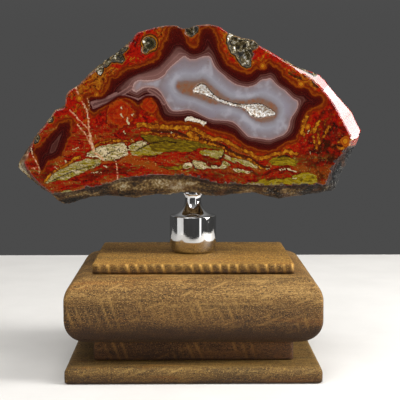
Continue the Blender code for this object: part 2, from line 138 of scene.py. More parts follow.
PLUM = (
    (-52.0, 137.3), (-51.2, 137.7), (-48.4, 137.3), (-45.8, 137.8), (-43.8, 138.7), (-42.3, 140.4),
    (-40.7, 142.4), (-40.2, 143.9), (-38.1, 146.2), (-35.1, 148.3), (-32.0, 150.2), (-28.5, 151.7),
    (-24.4, 153.3), (-20.9, 154.7), (-17.8, 156.0), (-15.3, 158.5), (-13.2, 161.0), (-11.4, 163.5),
    (-9.9, 165.8), (-8.1, 166.6), (-6.1, 167.1), (-4.6, 165.3), (-3.1, 163.5), (-1.3, 162.4), (1.0, 162.0),
    (3.2, 162.4), (5.0, 163.7), (6.0, 166.0), (6.8, 169.0), (7.8, 169.0), (9.3, 166.3), (11.1, 163.0),
    (12.1, 160.0), (13.4, 157.0), (15.2, 154.5), (17.7, 152.6), (20.8, 150.5), (24.3, 148.5),
    (27.9, 148.1), (30.9, 148.8), (32.7, 150.5), (33.5, 152.0), (35.5, 152.2), (37.5, 152.6),
    (39.1, 153.3), (40.6, 152.5), (42.4, 151.6), (42.9, 150.2), (43.9, 147.7), (46.2, 145.9),
    (48.5, 144.9), (50.3, 143.5), (51.9, 141.9), (53.9, 141.2), (56.7, 141.2), (58.5, 139.3),
    (60.1, 138.3), (61.6, 137.5), (61.3, 136.6), (59.1, 137.0), (57.1, 136.3), (55.5, 134.5),
    (54.5, 132.2), (53.3, 129.4), (52.7, 126.6), (52.4, 124.1), (51.4, 121.5), (49.5, 119.7),
    (47.0, 118.3), (43.9, 117.1), (41.6, 116.2), (39.8, 115.1), (37.3, 115.0), (34.2, 115.7),
    (31.1, 116.6), (28.6, 116.9), (26.3, 118.1), (24.2, 119.5), (22.9, 121.0), (21.9, 122.4),
    (20.4, 123.2), (18.6, 123.8), (16.8, 124.9), (14.2, 125.4), (11.7, 125.3), (9.6, 125.4), (7.6, 126.6),
    (5.0, 128.2), (2.5, 129.0), (-0.1, 129.8), (-2.6, 129.7), (-4.7, 129.3), (-7.7, 129.2), (-10.8, 129.3),
    (-13.3, 129.6), (-15.3, 130.6), (-16.0, 132.8), (-16.9, 135.3), (-17.9, 137.8), (-19.2, 139.8),
    (-20.9, 141.0), (-22.7, 141.3), (-24.5, 141.0), (-26.0, 140.1), (-27.3, 138.9), (-28.2, 138.3),
    (-29.3, 139.2), (-31.1, 140.1), (-33.1, 140.8), (-35.1, 141.2), (-36.9, 141.3), (-39.0, 140.7),
    (-40.7, 139.6), (-42.3, 138.6), (-44.3, 137.3), (-46.4, 136.6), (-48.4, 135.5), (-50.5, 134.0),
    (-51.5, 135.6),
)
MAROON = (
    (-53.4, 139.1), (-50.4, 139.8), (-46.8, 140.1), (-44.8, 141.1), (-43.5, 143.4), (-42.5, 145.9),
    (-41.7, 147.9), (-39.9, 148.9), (-37.6, 149.8), (-36.1, 151.2), (-34.3, 152.6), (-32.0, 153.5),
    (-29.0, 154.2), (-25.9, 155.3), (-22.9, 156.4), (-19.8, 157.3), (-17.3, 159.0), (-16.3, 161.5),
    (-15.5, 164.3), (-14.5, 166.8), (-13.2, 168.5), (-12.4, 171.0), (-11.7, 174.5), (-8.6, 175.5),
    (-5.6, 174.0), (-4.3, 170.5), (-3.3, 167.0), (-1.6, 164.9), (0.5, 164.1), (2.2, 164.8), (3.3, 167.0),
    (3.7, 170.0), (4.5, 174.0), (7.0, 174.8), (9.6, 173.8), (11.0, 170.0), (12.1, 166.8), (13.1, 163.5),
    (14.1, 160.5), (15.4, 158.0), (17.7, 155.6), (20.5, 154.0), (23.8, 152.3), (26.9, 151.7),
    (29.4, 152.1), (31.2, 153.5), (32.4, 154.3), (34.0, 153.6), (36.0, 153.5), (37.5, 154.5),
    (38.5, 156.4), (40.3, 155.1), (42.9, 154.1), (44.4, 152.2), (45.4, 150.3), (47.8, 148.2),
    (50.3, 146.2), (52.6, 144.5), (54.9, 144.0), (57.5, 144.2), (59.0, 143.4), (60.6, 141.1),
    (62.6, 140.1), (64.9, 139.8), (66.0, 138.1), (65.2, 136.0), (62.9, 135.1), (60.1, 134.4),
    (58.1, 132.6), (56.6, 130.2), (55.5, 127.7), (54.7, 124.6), (53.9, 121.5), (52.1, 119.2),
    (49.6, 117.8), (46.5, 116.3), (44.0, 114.8), (41.4, 113.4), (38.3, 112.7), (34.7, 113.0),
    (31.1, 113.8), (28.1, 114.9), (25.5, 116.4), (23.4, 118.0), (21.6, 119.5), (19.9, 121.0),
    (17.5, 122.0), (14.5, 122.4), (11.2, 123.1), (8.6, 124.4), (6.0, 125.4), (3.0, 126.5), (-0.1, 127.4),
    (-3.6, 127.5), (-7.7, 127.7), (-11.8, 127.5), (-14.9, 127.8), (-16.4, 129.5), (-17.2, 132.2),
    (-18.0, 134.8), (-19.2, 137.2), (-20.4, 139.0), (-22.2, 139.8), (-24.0, 139.6), (-25.5, 138.5),
    (-26.7, 136.8), (-28.1, 135.6), (-29.6, 137.1), (-31.6, 138.5), (-34.1, 139.4), (-36.7, 139.6),
    (-38.7, 139.0), (-40.8, 137.6), (-43.3, 136.1), (-45.9, 134.8), (-48.4, 133.3), (-50.5, 132.0),
    (-52.2, 133.3), (-53.4, 135.8),
)
SIDE_PLUM = (
    (-66.0, 123.6), (-67.9, 122.2), (-69.6, 120.3), (-71.4, 118.1), (-73.2, 116.2), (-73.9, 113.9),
    (-74.3, 112.1), (-75.8, 110.9), (-77.1, 109.5), (-77.8, 107.3), (-78.2, 104.2), (-77.2, 105.8),
    (-76.6, 107.7), (-75.6, 109.0), (-73.7, 109.9), (-71.6, 110.4), (-69.8, 111.5), (-68.7, 113.7),
    (-67.8, 116.2), (-66.9, 118.5), (-66.1, 120.8),
)
SIDE_MAROON = (
    (-62.5, 127.4), (-65.0, 127.0), (-67.6, 126.4), (-69.9, 123.6), (-72.5, 121.3), (-74.3, 119.0),
    (-76.1, 116.8), (-78.2, 114.7), (-80.3, 113.7), (-81.0, 112.4), (-80.1, 109.3), (-79.1, 106.3),
    (-78.4, 103.2), (-77.7, 101.1), (-76.6, 102.7), (-75.6, 105.2), (-74.5, 107.0), (-72.4, 108.1),
    (-69.6, 108.8), (-67.6, 110.6), (-66.2, 113.2), (-64.9, 116.2), (-63.6, 119.5), (-62.9, 122.9),
    (-62.2, 126.2),
)
# The white deposit under the grey chamber.
DEPOSIT = (
    (-4.4, 128.7), (-3.1, 129.7), (-1.1, 130.2), (0.9, 129.2), (3.0, 128.4), (5.0, 127.7), (6.8, 127.2),
    (6.0, 125.9), (5.4, 124.7), (4.5, 126.1), (2.5, 126.9), (-0.1, 127.4), (-2.6, 127.9), (-3.9, 127.4),
)
# The lens-shaped inclusions: how pale each is, and its outline.
LENSES = (
    (0.65, (
        (-76.0, 96.2), (-72.8, 99.9), (-69.7, 102.2), (-65.6, 104.2), (-62.3, 106.0), (-59.4, 107.0),
        (-56.4, 107.8), (-53.3, 108.6), (-50.2, 108.0), (-47.2, 107.5), (-47.4, 105.7), (-49.8, 104.5),
        (-52.8, 103.4), (-55.4, 101.9), (-58.0, 100.6), (-61.6, 99.3), (-65.2, 98.1), (-69.3, 97.3),
        (-72.4, 96.5), (-74.9, 95.6),
    )),
    (0.95, (
        (-55.3, 109.8), (-53.3, 111.6), (-50.7, 113.4), (-48.1, 114.4), (-45.6, 115.2), (-42.5, 116.1),
        (-38.9, 116.5), (-35.3, 116.5), (-34.3, 114.9), (-33.6, 112.9), (-33.9, 110.3), (-36.4, 108.8),
        (-40.0, 108.3), (-43.6, 107.5), (-46.1, 107.3), (-47.2, 108.8), (-49.2, 109.6), (-52.3, 109.6),
    )),
    (0.8, (
        (-33.1, 114.7), (-31.3, 116.2), (-28.7, 117.2), (-26.7, 117.2), (-24.1, 116.7), (-22.8, 116.2),
        (-25.1, 114.4), (-27.7, 113.1), (-30.8, 112.6), (-32.6, 113.4),
    )),
    (0.0, (
        (-22.1, 116.7), (-24.6, 118.3), (-26.6, 120.0), (-25.6, 120.9), (-21.5, 121.1), (-18.0, 120.2),
        (-13.9, 119.5), (-8.8, 119.0), (-3.7, 118.1), (2.5, 117.3), (7.6, 116.0), (12.2, 114.7),
        (15.8, 113.5), (12.2, 113.2), (8.6, 113.6), (5.5, 114.1), (2.5, 113.4), (-0.6, 112.6),
        (-4.2, 112.1), (-7.8, 111.9), (-11.3, 112.4), (-15.4, 112.4), (-19.5, 111.7), (-21.6, 112.6),
        (-22.6, 114.7),
    )),
    (0.5, (
        (-31.8, 111.7), (-28.7, 113.1), (-25.6, 114.5), (-22.6, 115.7), (-21.3, 113.9), (-20.0, 112.1),
        (-16.0, 111.6), (-18.0, 110.4), (-20.6, 110.0), (-24.1, 110.2), (-27.2, 109.7), (-30.3, 110.3),
    )),
    (0.5, (
        (3.5, 112.6), (5.5, 113.0), (8.6, 112.9), (12.2, 112.9), (15.3, 112.6), (16.0, 111.3),
        (14.3, 109.5), (11.7, 108.5), (9.1, 108.8), (7.6, 110.0), (5.0, 110.5), (3.7, 111.3),
    )),
    (0.1, (
        (-18.0, 104.7), (-15.5, 104.9), (-11.9, 103.9), (-8.8, 104.4), (-6.0, 104.9), (-5.7, 103.4),
        (-8.8, 102.9), (-12.9, 103.1), (-16.0, 103.7),
    )),
    (0.95, (
        (-5.6, 104.4), (-4.4, 106.0), (-1.6, 107.0), (-0.8, 105.4), (0.2, 103.8), (-2.7, 103.4),
        (-5.2, 103.4),
    )),
    (0.8, (
        (-0.9, 107.1), (1.4, 107.5), (4.0, 106.7), (6.6, 105.7), (8.6, 104.5), (12.2, 104.7),
        (12.5, 103.7), (8.6, 103.0), (5.0, 103.4), (0.9, 103.6),
    )),
    (0.8, (
        (13.8, 103.9), (14.8, 106.2), (16.3, 107.0), (18.4, 106.2), (19.4, 105.4), (17.9, 104.4),
        (15.8, 103.4), (14.0, 103.4),
    )),
    (0.6, (
        (16.3, 110.6), (18.9, 109.4), (21.9, 108.5), (25.5, 107.5), (29.1, 107.2), (31.7, 105.7),
        (33.8, 103.9), (31.2, 103.6), (28.1, 104.7), (24.5, 105.8), (20.9, 106.9), (17.8, 107.8),
        (16.3, 108.8),
    )),
    (0.9, (
        (20.4, 102.9), (22.5, 103.4), (25.0, 102.8), (28.1, 102.3), (30.2, 101.6), (27.6, 100.8),
        (24.5, 100.8), (22.0, 101.6),
    )),
    (0.25, (
        (26.1, 95.0), (29.2, 96.1), (32.3, 96.7), (35.9, 97.2), (40.0, 97.4), (44.6, 97.7), (48.7, 98.4),
        (52.8, 100.0), (55.9, 101.1), (59.0, 101.5), (62.1, 100.2), (63.6, 98.2), (64.2, 96.4),
        (61.1, 95.1), (56.5, 94.8), (51.3, 95.1), (45.7, 94.9), (39.5, 94.8), (33.3, 94.8), (29.2, 94.4),
    )),
    (0.15, (
        (40.4, 108.5), (43.0, 109.6), (46.0, 110.0), (49.1, 109.5), (51.7, 108.4), (53.8, 106.7),
        (52.8, 104.9), (48.7, 104.9), (44.5, 104.9), (40.9, 105.4), (38.9, 106.7),
    )),
    (0.6, (
        (-73.5, 90.3), (-70.4, 90.8), (-66.8, 91.4), (-63.2, 92.1), (-61.2, 90.8), (-63.3, 89.0),
        (-65.3, 87.7), (-68.4, 87.0), (-70.4, 88.0),
    )),
)
# Strokes, each its half width and its line: pale veins, the amber bands, dark cracks and cream flecks.
VEINS = (
    (0.44, (
        (-59.7, 144.9), (-58.2, 140.9), (-56.5, 137.6), (-54.0, 133.0), (-53.4, 128.2), (-53.1, 123.6),
        (-52.4, 119.5),
    )),
    (0.79, ((-52.6, 120.1), (-52.2, 117.5), (-51.5, 114.9), (-51.0, 112.9))),
    (0.39, ((-62.7, 133.1), (-60.2, 130.7), (-58.7, 128.7), (-56.1, 126.2), (-52.9, 123.4))),
    (0.39, ((-58.7, 125.7), (-57.2, 123.6), (-54.7, 120.6), (-53.4, 117.5), (-51.7, 114.4))),
    (0.25, ((-53.7, 139.3), (-53.0, 136.3), (-52.9, 133.3))),
    (0.30, (
        (-82.5, 115.0), (-82.7, 112.9), (-81.9, 109.9), (-80.1, 106.8), (-79.1, 104.5), (-78.6, 102.2),
        (-79.1, 100.6),
    )),
    (0.25, ((-83.0, 103.7), (-80.9, 103.6), (-79.4, 104.7))),
    (0.35, ((-39.8, 107.3), (-39.0, 103.7), (-38.9, 99.6), (-38.8, 96.2))),
    (0.49, ((-50.2, 111.1), (-48.2, 110.3), (-46.1, 108.3))),
)
GOLD = (
    (0.99, (
        (-28.1, 125.4), (-24.6, 125.7), (-21.0, 125.1), (-16.9, 124.6), (-12.8, 124.4), (-8.8, 124.4),
        (-4.7, 124.1),
    )),
    (0.89, (
        (-4.7, 124.1), (-1.6, 124.1), (0.9, 123.3), (3.5, 122.1), (5.5, 120.5), (7.6, 119.8),
        (10.1, 118.7), (13.2, 118.7), (16.3, 117.7), (18.8, 116.4),
    )),
    (0.79, (
        (18.8, 116.4), (21.4, 114.9), (24.0, 113.4), (27.1, 112.1), (30.1, 110.8), (32.2, 109.3),
        (34.3, 108.5), (37.3, 109.0), (39.4, 110.0), (42.4, 111.0), (46.0, 111.6), (48.1, 112.3),
        (50.7, 111.3), (53.2, 110.5),
    )),
    (0.49, (
        (-26.6, 121.6), (-24.1, 121.3), (-22.0, 122.1), (-19.5, 121.8), (-16.9, 120.5), (-13.9, 120.3),
        (-10.8, 120.5), (-7.7, 119.5), (-3.7, 118.8), (0.4, 118.0), (4.5, 117.2), (7.6, 116.4),
        (11.2, 115.4), (14.8, 114.4),
    )),
    (0.30, (
        (14.8, 114.1), (16.8, 112.6), (19.4, 110.9), (21.9, 109.4), (25.5, 108.3), (29.1, 107.9),
        (31.2, 106.4), (33.2, 104.9), (35.3, 103.4), (38.4, 103.1),
    )),
    (0.49, (
        (-75.9, 96.8), (-72.6, 100.8), (-69.7, 102.8), (-65.1, 105.1), (-62.0, 107.0), (-59.9, 108.8),
        (-57.9, 109.4),
    )),
    (0.44, (
        (-51.2, 114.2), (-49.1, 115.6), (-46.1, 116.9), (-42.5, 117.6), (-38.4, 117.6), (-33.8, 117.5),
        (-30.7, 117.5),
    )),
    (0.69, ((64.1, 127.6), (63.1, 125.1), (61.7, 122.3))),
    (0.35, ((67.6, 127.9), (67.2, 125.1))),
    (0.39, ((69.7, 124.8), (68.2, 122.5), (66.7, 119.7))),
    (0.39, ((63.9, 121.5), (64.4, 119.0), (64.7, 116.2))),
    (0.39, ((61.6, 120.0), (62.1, 116.7))),
    (0.30, ((62.9, 115.4), (63.5, 113.3))),
    (0.79, ((58.1, 129.4), (56.6, 127.4), (56.2, 124.6), (55.7, 122.0), (56.2, 120.5))),
    (0.49, ((74.0, 114.4), (76.0, 113.3), (78.3, 114.4), (80.9, 116.1))),
    (0.39, ((74.7, 116.7), (76.5, 117.9), (78.0, 119.5))),
    (1.48, ((-1.6, 120.8), (-0.1, 120.0), (1.4, 119.5))),
    (0.44, ((76.7, 117.8), (79.8, 117.6), (82.6, 118.6))),
)
DARK = (
    (0.59, ((-21.0, 122.8), (-18.0, 122.3), (-13.9, 122.1), (-8.8, 122.3), (-5.7, 121.0), (-2.6, 119.3))),
    (0.30, (
        (-29.2, 112.6), (-25.7, 114.4), (-22.1, 116.3), (-18.0, 117.1), (-13.9, 117.6), (-11.3, 117.0),
        (-8.8, 116.6),
    )),
    (0.25, ((-26.9, 119.8), (-24.6, 118.0), (-22.1, 116.3))),
    (0.69, ((1.5, 122.6), (3.0, 120.5), (3.0, 118.5), (6.6, 117.5), (10.7, 116.7), (14.8, 115.4))),
    (0.79, ((14.8, 115.4), (17.3, 113.6), (19.4, 112.1), (22.4, 110.5), (25.5, 109.5), (29.1, 108.7))),
    (0.59, ((29.1, 108.7), (31.2, 107.2), (33.8, 105.2), (36.3, 104.1), (38.9, 103.9))),
    (0.25, ((16.0, 111.8), (15.0, 109.8), (13.5, 107.7))),
    (0.20, ((-0.6, 106.7), (0.4, 104.7), (1.7, 103.1))),
    (0.25, (
        (-72.4, 97.0), (-68.2, 99.1), (-64.1, 100.9), (-60.0, 102.4), (-55.9, 103.9), (-51.8, 104.6),
        (-47.7, 105.7),
    )),
    (0.20, ((-45.6, 109.6), (-43.0, 111.4), (-40.5, 112.4))),
    (0.49, ((48.7, 152.0), (51.8, 150.2), (54.9, 149.2))),
    (0.49, ((61.0, 147.4), (61.8, 145.7), (63.6, 144.9))),
    (0.44, ((43.5, 109.0), (46.0, 109.9), (49.1, 109.5))),
)
CREAM = (
    (0.35, ((44.1, 102.7), (47.1, 103.0))),
    (0.35, ((48.4, 103.3), (49.7, 102.4), (52.8, 101.7))),
    (0.35, ((37.9, 103.2), (38.9, 103.3))),
    (0.35, ((-61.4, 113.1), (-58.8, 114.2))),
    (0.35, ((-65.4, 107.8), (-65.1, 106.3))),
    (0.35, ((-70.7, 104.2), (-70.0, 103.7))),
    (0.30, ((-51.8, 101.1), (-49.3, 101.6), (-47.2, 101.1))),
    (0.30, ((-16.7, 121.8), (-16.0, 121.8))),
    (0.30, ((-11.2, 121.8), (-10.7, 121.8))),
    (0.49, ((-33.0, 129.5), (-33.6, 127.7), (-32.9, 126.2))),
    (0.44, ((-31.4, 130.7), (-29.9, 131.2))),
    (0.39, ((-37.0, 131.5), (-36.0, 129.5))),
    (0.39, ((-36.7, 134.5), (-36.2, 133.8))),
    (0.35, ((-35.3, 122.3), (-34.8, 121.3))),
    (0.30, ((-31.2, 118.5), (-31.0, 117.5))),
    (0.30, ((-46.4, 104.7), (-44.1, 104.3))),
    (0.30, ((4.5, 110.5), (7.6, 110.3), (10.7, 110.8))),
    (0.30, ((51.3, 98.3), (53.1, 98.2))),
    (0.30, ((59.6, 125.1), (59.2, 123.1), (58.5, 121.3))),
    (0.30, ((59.8, 111.8), (60.4, 110.8))),
)
# The thin mauve layers running out to the left of the grey chamber.
MAUVE = (
    (1.10, ((-50.7, 135.9), (-47.2, 137.1), (-42.7, 138.5), (-38.6, 140.2), (-35.0, 142.3), (-31.5, 144.6))),
    (0.45, ((-52.4, 136.7), (-49.1, 137.9), (-43.7, 139.7), (-38.9, 141.8))),
    (0.30, (
        (-51.7, 133.9), (-48.4, 135.1), (-43.0, 136.7), (-38.6, 139.0), (-34.0, 140.5), (-30.7, 139.7),
        (-27.9, 138.7), (-23.8, 140.7), (-20.0, 141.0),
    )),
    (0.90, ((-22.3, 143.3), (-19.7, 142.0), (-16.6, 139.5), (-14.8, 136.7))),
)
# Outlines of the open, rough pits in the rim.
ROUGH = (
    (
        (18.2, 172.0), (20.7, 170.8), (23.7, 169.6), (27.3, 169.1), (30.3, 168.1), (32.9, 166.3),
        (31.9, 164.8), (29.6, 163.8), (29.0, 161.0), (28.9, 158.0), (28.8, 155.3), (27.4, 154.6),
        (25.6, 155.5), (23.8, 157.0), (22.5, 158.8), (21.6, 160.8), (19.7, 162.3), (18.2, 164.5),
        (17.2, 167.5), (17.2, 170.3),
    ),
    (
        (-3.8, 174.8), (2.2, 174.8), (2.0, 172.8), (0.5, 171.3), (-1.3, 170.3), (-3.1, 171.8),
    ),
    (
        (-25.8, 167.8), (-25.1, 169.1), (-23.3, 170.2), (-21.9, 169.9), (-21.8, 168.5), (-22.5, 167.9),
        (-22.2, 166.8), (-22.9, 166.4), (-24.8, 167.0),
    ),
    (
        (-49.0, 155.0), (-47.7, 157.0), (-45.6, 158.2), (-45.7, 155.5), (-45.9, 153.0), (-47.0, 150.9),
        (-48.2, 151.5), (-49.1, 153.0),
    ),
    (
        (-45.1, 158.5), (-42.6, 160.0), (-41.1, 158.0), (-42.9, 156.2), (-44.4, 155.0),
    ),
    (
        (-41.8, 159.7), (-39.8, 162.5), (-37.0, 164.0), (-33.9, 165.5), (-33.2, 164.5), (-36.0, 161.5),
        (-35.0, 158.7), (-36.3, 157.2), (-38.6, 157.7), (-41.1, 157.7),
    ),
    (
        (-72.9, 129.0), (-71.4, 129.5), (-71.9, 127.7), (-73.2, 127.4),
    ),
    (
        (-80.4, 119.6), (-79.1, 120.3), (-78.4, 118.8), (-79.4, 117.0), (-80.7, 116.5),
    ),
    (
        (46.3, 158.6), (52.4, 155.6), (58.0, 152.6), (62.3, 150.4), (64.5, 152.0), (60.0, 155.5),
        (52.4, 159.6), (46.3, 161.8),
    ),
)
# Ringed eyes and amber spots: x, z, radius.
EYES = ((-22.1, 166.8, 5.0), (-23.9, 163.5, 2.5))
AMBER_SPOTS = (
    (35.2, 155.4, 1.9), (54.9, 146.4, 1.8), (58.6, 124.6, 1.6), (77.8, 117.2, 2.6), (-49.0, 141.0, 1.5),
    (-58.0, 139.0, 2.0), (45.5, 148.8, 1.3),
)

# Warmer and redder parts of the jasper: x, z, radius and warmth, from -1 deep red to 1 amber.
PATCHES = (
    (-58.0, 145.0, 8.0, 0.35), (-52.0, 149.0, 8.0, 0.5), (-45.0, 151.0, 7.0, 0.5), (-31.0, 162.5, 6.0, -0.25),
    (-36.0, 160.0, 4.0, -0.2), (-14.0, 171.5, 5.0, 0.8), (-2.0, 168.0, 4.0, 0.5), (9.0, 173.0, 7.0, 0.6),
    (16.0, 166.0, 6.0, 0.6), (36.0, 156.0, 5.0, 0.4), (24.0, 155.0, 4.0, 0.5), (47.0, 150.0, 7.0, 0.5),
    (57.0, 145.5, 7.0, 0.9), (-63.0, 137.0, 6.0, 0.3), (-60.0, 127.0, 6.0, 0.2), (-44.0, 124.0, 9.0, -0.2),
    (-37.0, 122.0, 8.0, -0.25),
    (-84.0, 112.0, 6.0, -0.2), (-58.0, 114.0, 7.0, -0.2), (-70.0, 103.0, 5.0, -0.2), (-60.0, 95.0, 12.0, -0.2),
    (-35.0, 100.0, 12.0, -0.15), (10.0, 97.5, 10.0, -0.2), (30.0, 99.0, 8.0, -0.1), (50.0, 105.0, 7.0, 0.1),
    (68.0, 112.0, 8.0, -0.3), (60.0, 108.0, 7.0, -0.25), (72.0, 124.0, 6.0, -0.3),
    (62.0, 120.0, 7.0, 0.1),
)
# Darker parts of the jasper: x, z, radius and how much darker.
SHADES = (
    (14.0, 99.5, 12.0, 0.4), (69.0, 121.0, 10.0, 0.45), (71.0, 110.0, 10.0, 0.55), (58.0, 101.0, 8.0, 0.4),
    (66.0, 100.0, 6.0, 0.3),
    (45.0, 97.0, 6.0, 0.2), (80.0, 116.0, 6.0, 0.3), (-40.0, 112.0, 4.0, 0.15), (-78.0, 96.0, 6.0, 0.3),
    (-58.0, 89.0, 6.0, 0.15), (66.0, 134.0, 7.0, 0.35), (58.0, 115.0, 6.0, 0.25), (34.0, 100.0, 6.0, 0.2),
)
# Where the plum layer clears to mauve: x, z, radius and how much.
HAZES = (
    (-28.0, 151.0, 6.5, 0.8), (-18.0, 154.0, 6.5, 0.8), (-9.0, 159.5, 5.0, 0.7), (-38.0, 145.5, 5.0, 0.5),
    (-80.0, 121.0, 4.0, 0.5), (17.0, 114.0, 5.0, 0.3), (66.0, 136.0, 4.0, 0.4),
)
# The round growths below the grey chamber's tail: x, z, radius.
DOMES = ((-36.9, 131.3, 8.8), (-22.1, 135.9, 5.6))
# Paler and darker parts of the rind: x, z, radius and how much paler.
CRUST_TONES = (
    (-8.0, 95.0, 20.0, 0.1), (-30.0, 92.0, 10.0, 0.05), (72.0, 106.0, 15.0, -0.25), (56.0, 89.0, 14.0, -0.06),
    (-66.0, 86.0, 9.0, -0.04), (82.0, 112.0, 8.0, -0.25), (-84.0, 104.0, 9.0, 0.15),
)
# The polished bevel at the right end: its inner and outer edges, and how far it falls.
BEVEL_INNER = (
    (41.5, 160.5), (46.0, 157.5), (50.5, 154.5), (54.5, 151.5), (60.0, 147.5), (65.5, 142.5), (70.5, 136.0),
    (74.0, 129.5), (76.5, 125.0), (78.5, 121.5), (80.5, 118.5),
)
BEVEL_OUTER = (
    (42.5, 161.5), (47.5, 158.5), (53.0, 156.0), (58.0, 154.0), (65.5, 151.0), (70.5, 145.5), (78.0, 137.0),
    (82.5, 131.5), (85.0, 126.5), (87.0, 122.5), (86.0, 118.5),
)
BEVEL_SIDE = 200.0  # x + z is over this all along it
BEVEL_FALL = 5.0
BEVEL_SLOPE = 0.67  # where the bevel is narrow it falls less
EDGE_CELL = 0.5  # the grid on which the face's edge is looked up
EDGE_REACH = 7  # cells looked through each way

# The druse
QUARTZ_SPACING = 1.1
QUARTZ_SIZES = (0.35, 0.95)
QUARTZ_LEAN = 0.6

# The saw's and the rasp's marks on the wood
WOOD_VOXEL = 0.72
SAW_PITCH = 4.6
ROUNDED_KERF = 0.42  # half width of a notch on the rounded board
SQUARE_KERF = 0.58  # and on the others
SCRATCH_PITCH = 3.1
SCRATCH_WIDTH = 0.34
CORNER_STEPS = 3
# Where the saw bit the bolster most: place along the side, height, radius and how much more.
BOLSTER_MARKS = (
    (-56.0, 34.0, 9.0, 0.55), (-40.0, 40.0, 7.0, 0.4), (-22.0, 36.0, 6.0, 0.35), (2.0, 34.0, 8.0, 0.42),
    (18.0, 36.0, 5.0, 0.35), (38.0, 38.0, 6.0, 0.38), (57.0, 31.0, 6.0, 0.35),
)


# Numbers at the points of a mesh

def points_of(piece):
    """The mesh's points in millimetres, one row each."""
    flat = np.empty(len(piece.data.vertices) * 3, np.float32)
    piece.data.vertices.foreach_get("co", flat)
    return flat.reshape(-1, 3).astype(float) / MM


def place_points(piece, points):
    piece.data.vertices.foreach_set("co", (points * MM).astype(np.float32).ravel())
    piece.data.update()


def normals_of(piece):
    flat = np.empty(len(piece.data.vertices) * 3, np.float32)
    piece.data.vertices.foreach_get("normal", flat)
    return flat.reshape(-1, 3).astype(float)


def write_fields(piece, fields):
    """Writes named values at the mesh's points, for a finish to read."""
    for name, values in fields.items():
        field = piece.data.attributes.new(name, "FLOAT", "POINT")
        field.data.foreach_set("value", np.asarray(values, np.float32))


def lumps(points, size, seed=0):
    """Soft noise at the points, about -1 to 1, with bumps of the given size."""
    shift = Vector((7.3 * seed, 3.1 * seed, 5.7 * seed))
    return np.array([noise.noise(Vector(p) / size + shift) for p in points])


def smooth_step(values, low, high):
    t = np.clip((values - low) / (high - low), 0, 1)
    return t * t * (3 - 2 * t)


def distance_to_line(x, z, line, closed=False):
    """How far each point lies from a drawn line."""
    ends = list(zip(line, line[1:] + (line[:1] if closed else ())))
    nearest = np.full(len(x), 1e9)
    for (ax, az), (bx, bz) in ends:
        run_x, run_z = bx - ax, bz - az
        share = ((x - ax) * run_x + (z - az) * run_z) / max(run_x**2 + run_z**2, 1e-9)
        share = np.clip(share, 0, 1)
        nearest = np.minimum(nearest, (x - ax - share * run_x) ** 2 + (z - az - share * run_z) ** 2)
    return np.sqrt(nearest)


def distance_to_outline(x, z, outline):
    """Distance from a closed outline, negative inside it."""
    inside = np.zeros(len(x), bool)
    for (ax, az), (bx, bz) in zip(outline, outline[1:] + outline[:1]):
        if az == bz:
            continue
        crosses = (az > z) != (bz > z)
        inside ^= crosses & (x < ax + (bx - ax) * (z - az) / (bz - az))
    return np.where(inside, -1, 1) * distance_to_line(x, z, outline, closed=True)


def nearest_stroke(x, z, strokes):
    """Distance from the nearest stroke's edge; each stroke is its half width and its line."""
    return np.min([distance_to_line(x, z, line) - half for half, line in strokes], axis=0)


def between(inner, outer):
    """0 on the inner outline and 1 on the outer one, from the signed distances to both."""
    return np.clip(inner / np.maximum(inner - outer, 1e-6), 0, 1)


def growth_bands(x, z):
    """0 at the vug's crystals, 1 at the halo's edge, 2 at the grey chamber's, 3 at the plum band's, 4 at the
    maroon band's, and on by one for every RED_REACH millimetres of jasper."""
    halo = distance_to_outline(x, z, HALO)
    grey = distance_to_outline(x, z, GREY)
    plum = distance_to_outline(x, z, PLUM)
    maroon = distance_to_outline(x, z, MAROON)
    main = np.select(
        [halo < 0, grey < 0, plum < 0, maroon < 0],
        [1 + np.clip(halo / HALO_REACH, -1, 0), 1 + between(halo, grey), 2 + between(grey, plum),
         3 + between(plum, maroon)],
        4 + np.maximum(maroon, 0) / RED_REACH,
    )
    side_plum = distance_to_outline(x, z, SIDE_PLUM)
    side_maroon = distance_to_outline(x, z, SIDE_MAROON)
    side = np.select(
        [side_plum < 0, side_maroon < 0],
        [3 + np.maximum(side_plum / SIDE_REACH, -0.9), 3 + between(side_plum, side_maroon)],
        4 + np.maximum(side_maroon, 0) / RED_REACH,
    )
    return np.minimum(main, side)


def lens_fields(x, z):
    """Distance from the nearest lens-shaped inclusion, and how pale that one is."""
    nearest = np.full(len(x), 1e9)
    tone = np.zeros(len(x))
    for pale, outline in LENSES:
        distance = distance_to_outline(x, z, outline)
        closer = distance < nearest
        nearest = np.where(closer, distance, nearest)
        tone = np.where(closer, pale, tone)
    return nearest, tone


def round_field(x, z, rounds):
    """0 at the middle of the nearest round growth, 1 at its edge, and more outside."""
    return np.min([np.hypot(x - cx, z - cz) / radius for cx, cz, radius in rounds], axis=0)


def bedding(x, z):
    """Height above the long amber band that the lower half's layers lie along."""
    band = sorted({point for _, line in GOLD[:3] for point in line})
    return z - np.interp(x, [p[0] for p in band], [p[1] for p in band])


def tones(x, z, patches):
    """The sum of soft round patches: each is its x, z, radius and height."""
    total = np.zeros(len(x))
    for cx, cz, radius, height in patches:
        total += height * np.exp(-((x - cx) ** 2 + (z - cz) ** 2) / radius**2)
    return total


# Pieces

def deselect():
    if bpy.context.mode != "OBJECT":
        bpy.ops.object.mode_set(mode="OBJECT")
    bpy.ops.object.select_all(action="DESELECT")


def take_up(piece):
    """Makes the piece the only one selected, and the active one."""
    deselect()
    piece.select_set(True)
    bpy.context.view_layer.objects.active = piece


def settle(piece):
    """Puts the piece's place, turn and size into its mesh."""
    take_up(piece)
    bpy.ops.object.transform_apply(location=True, rotation=True, scale=True)


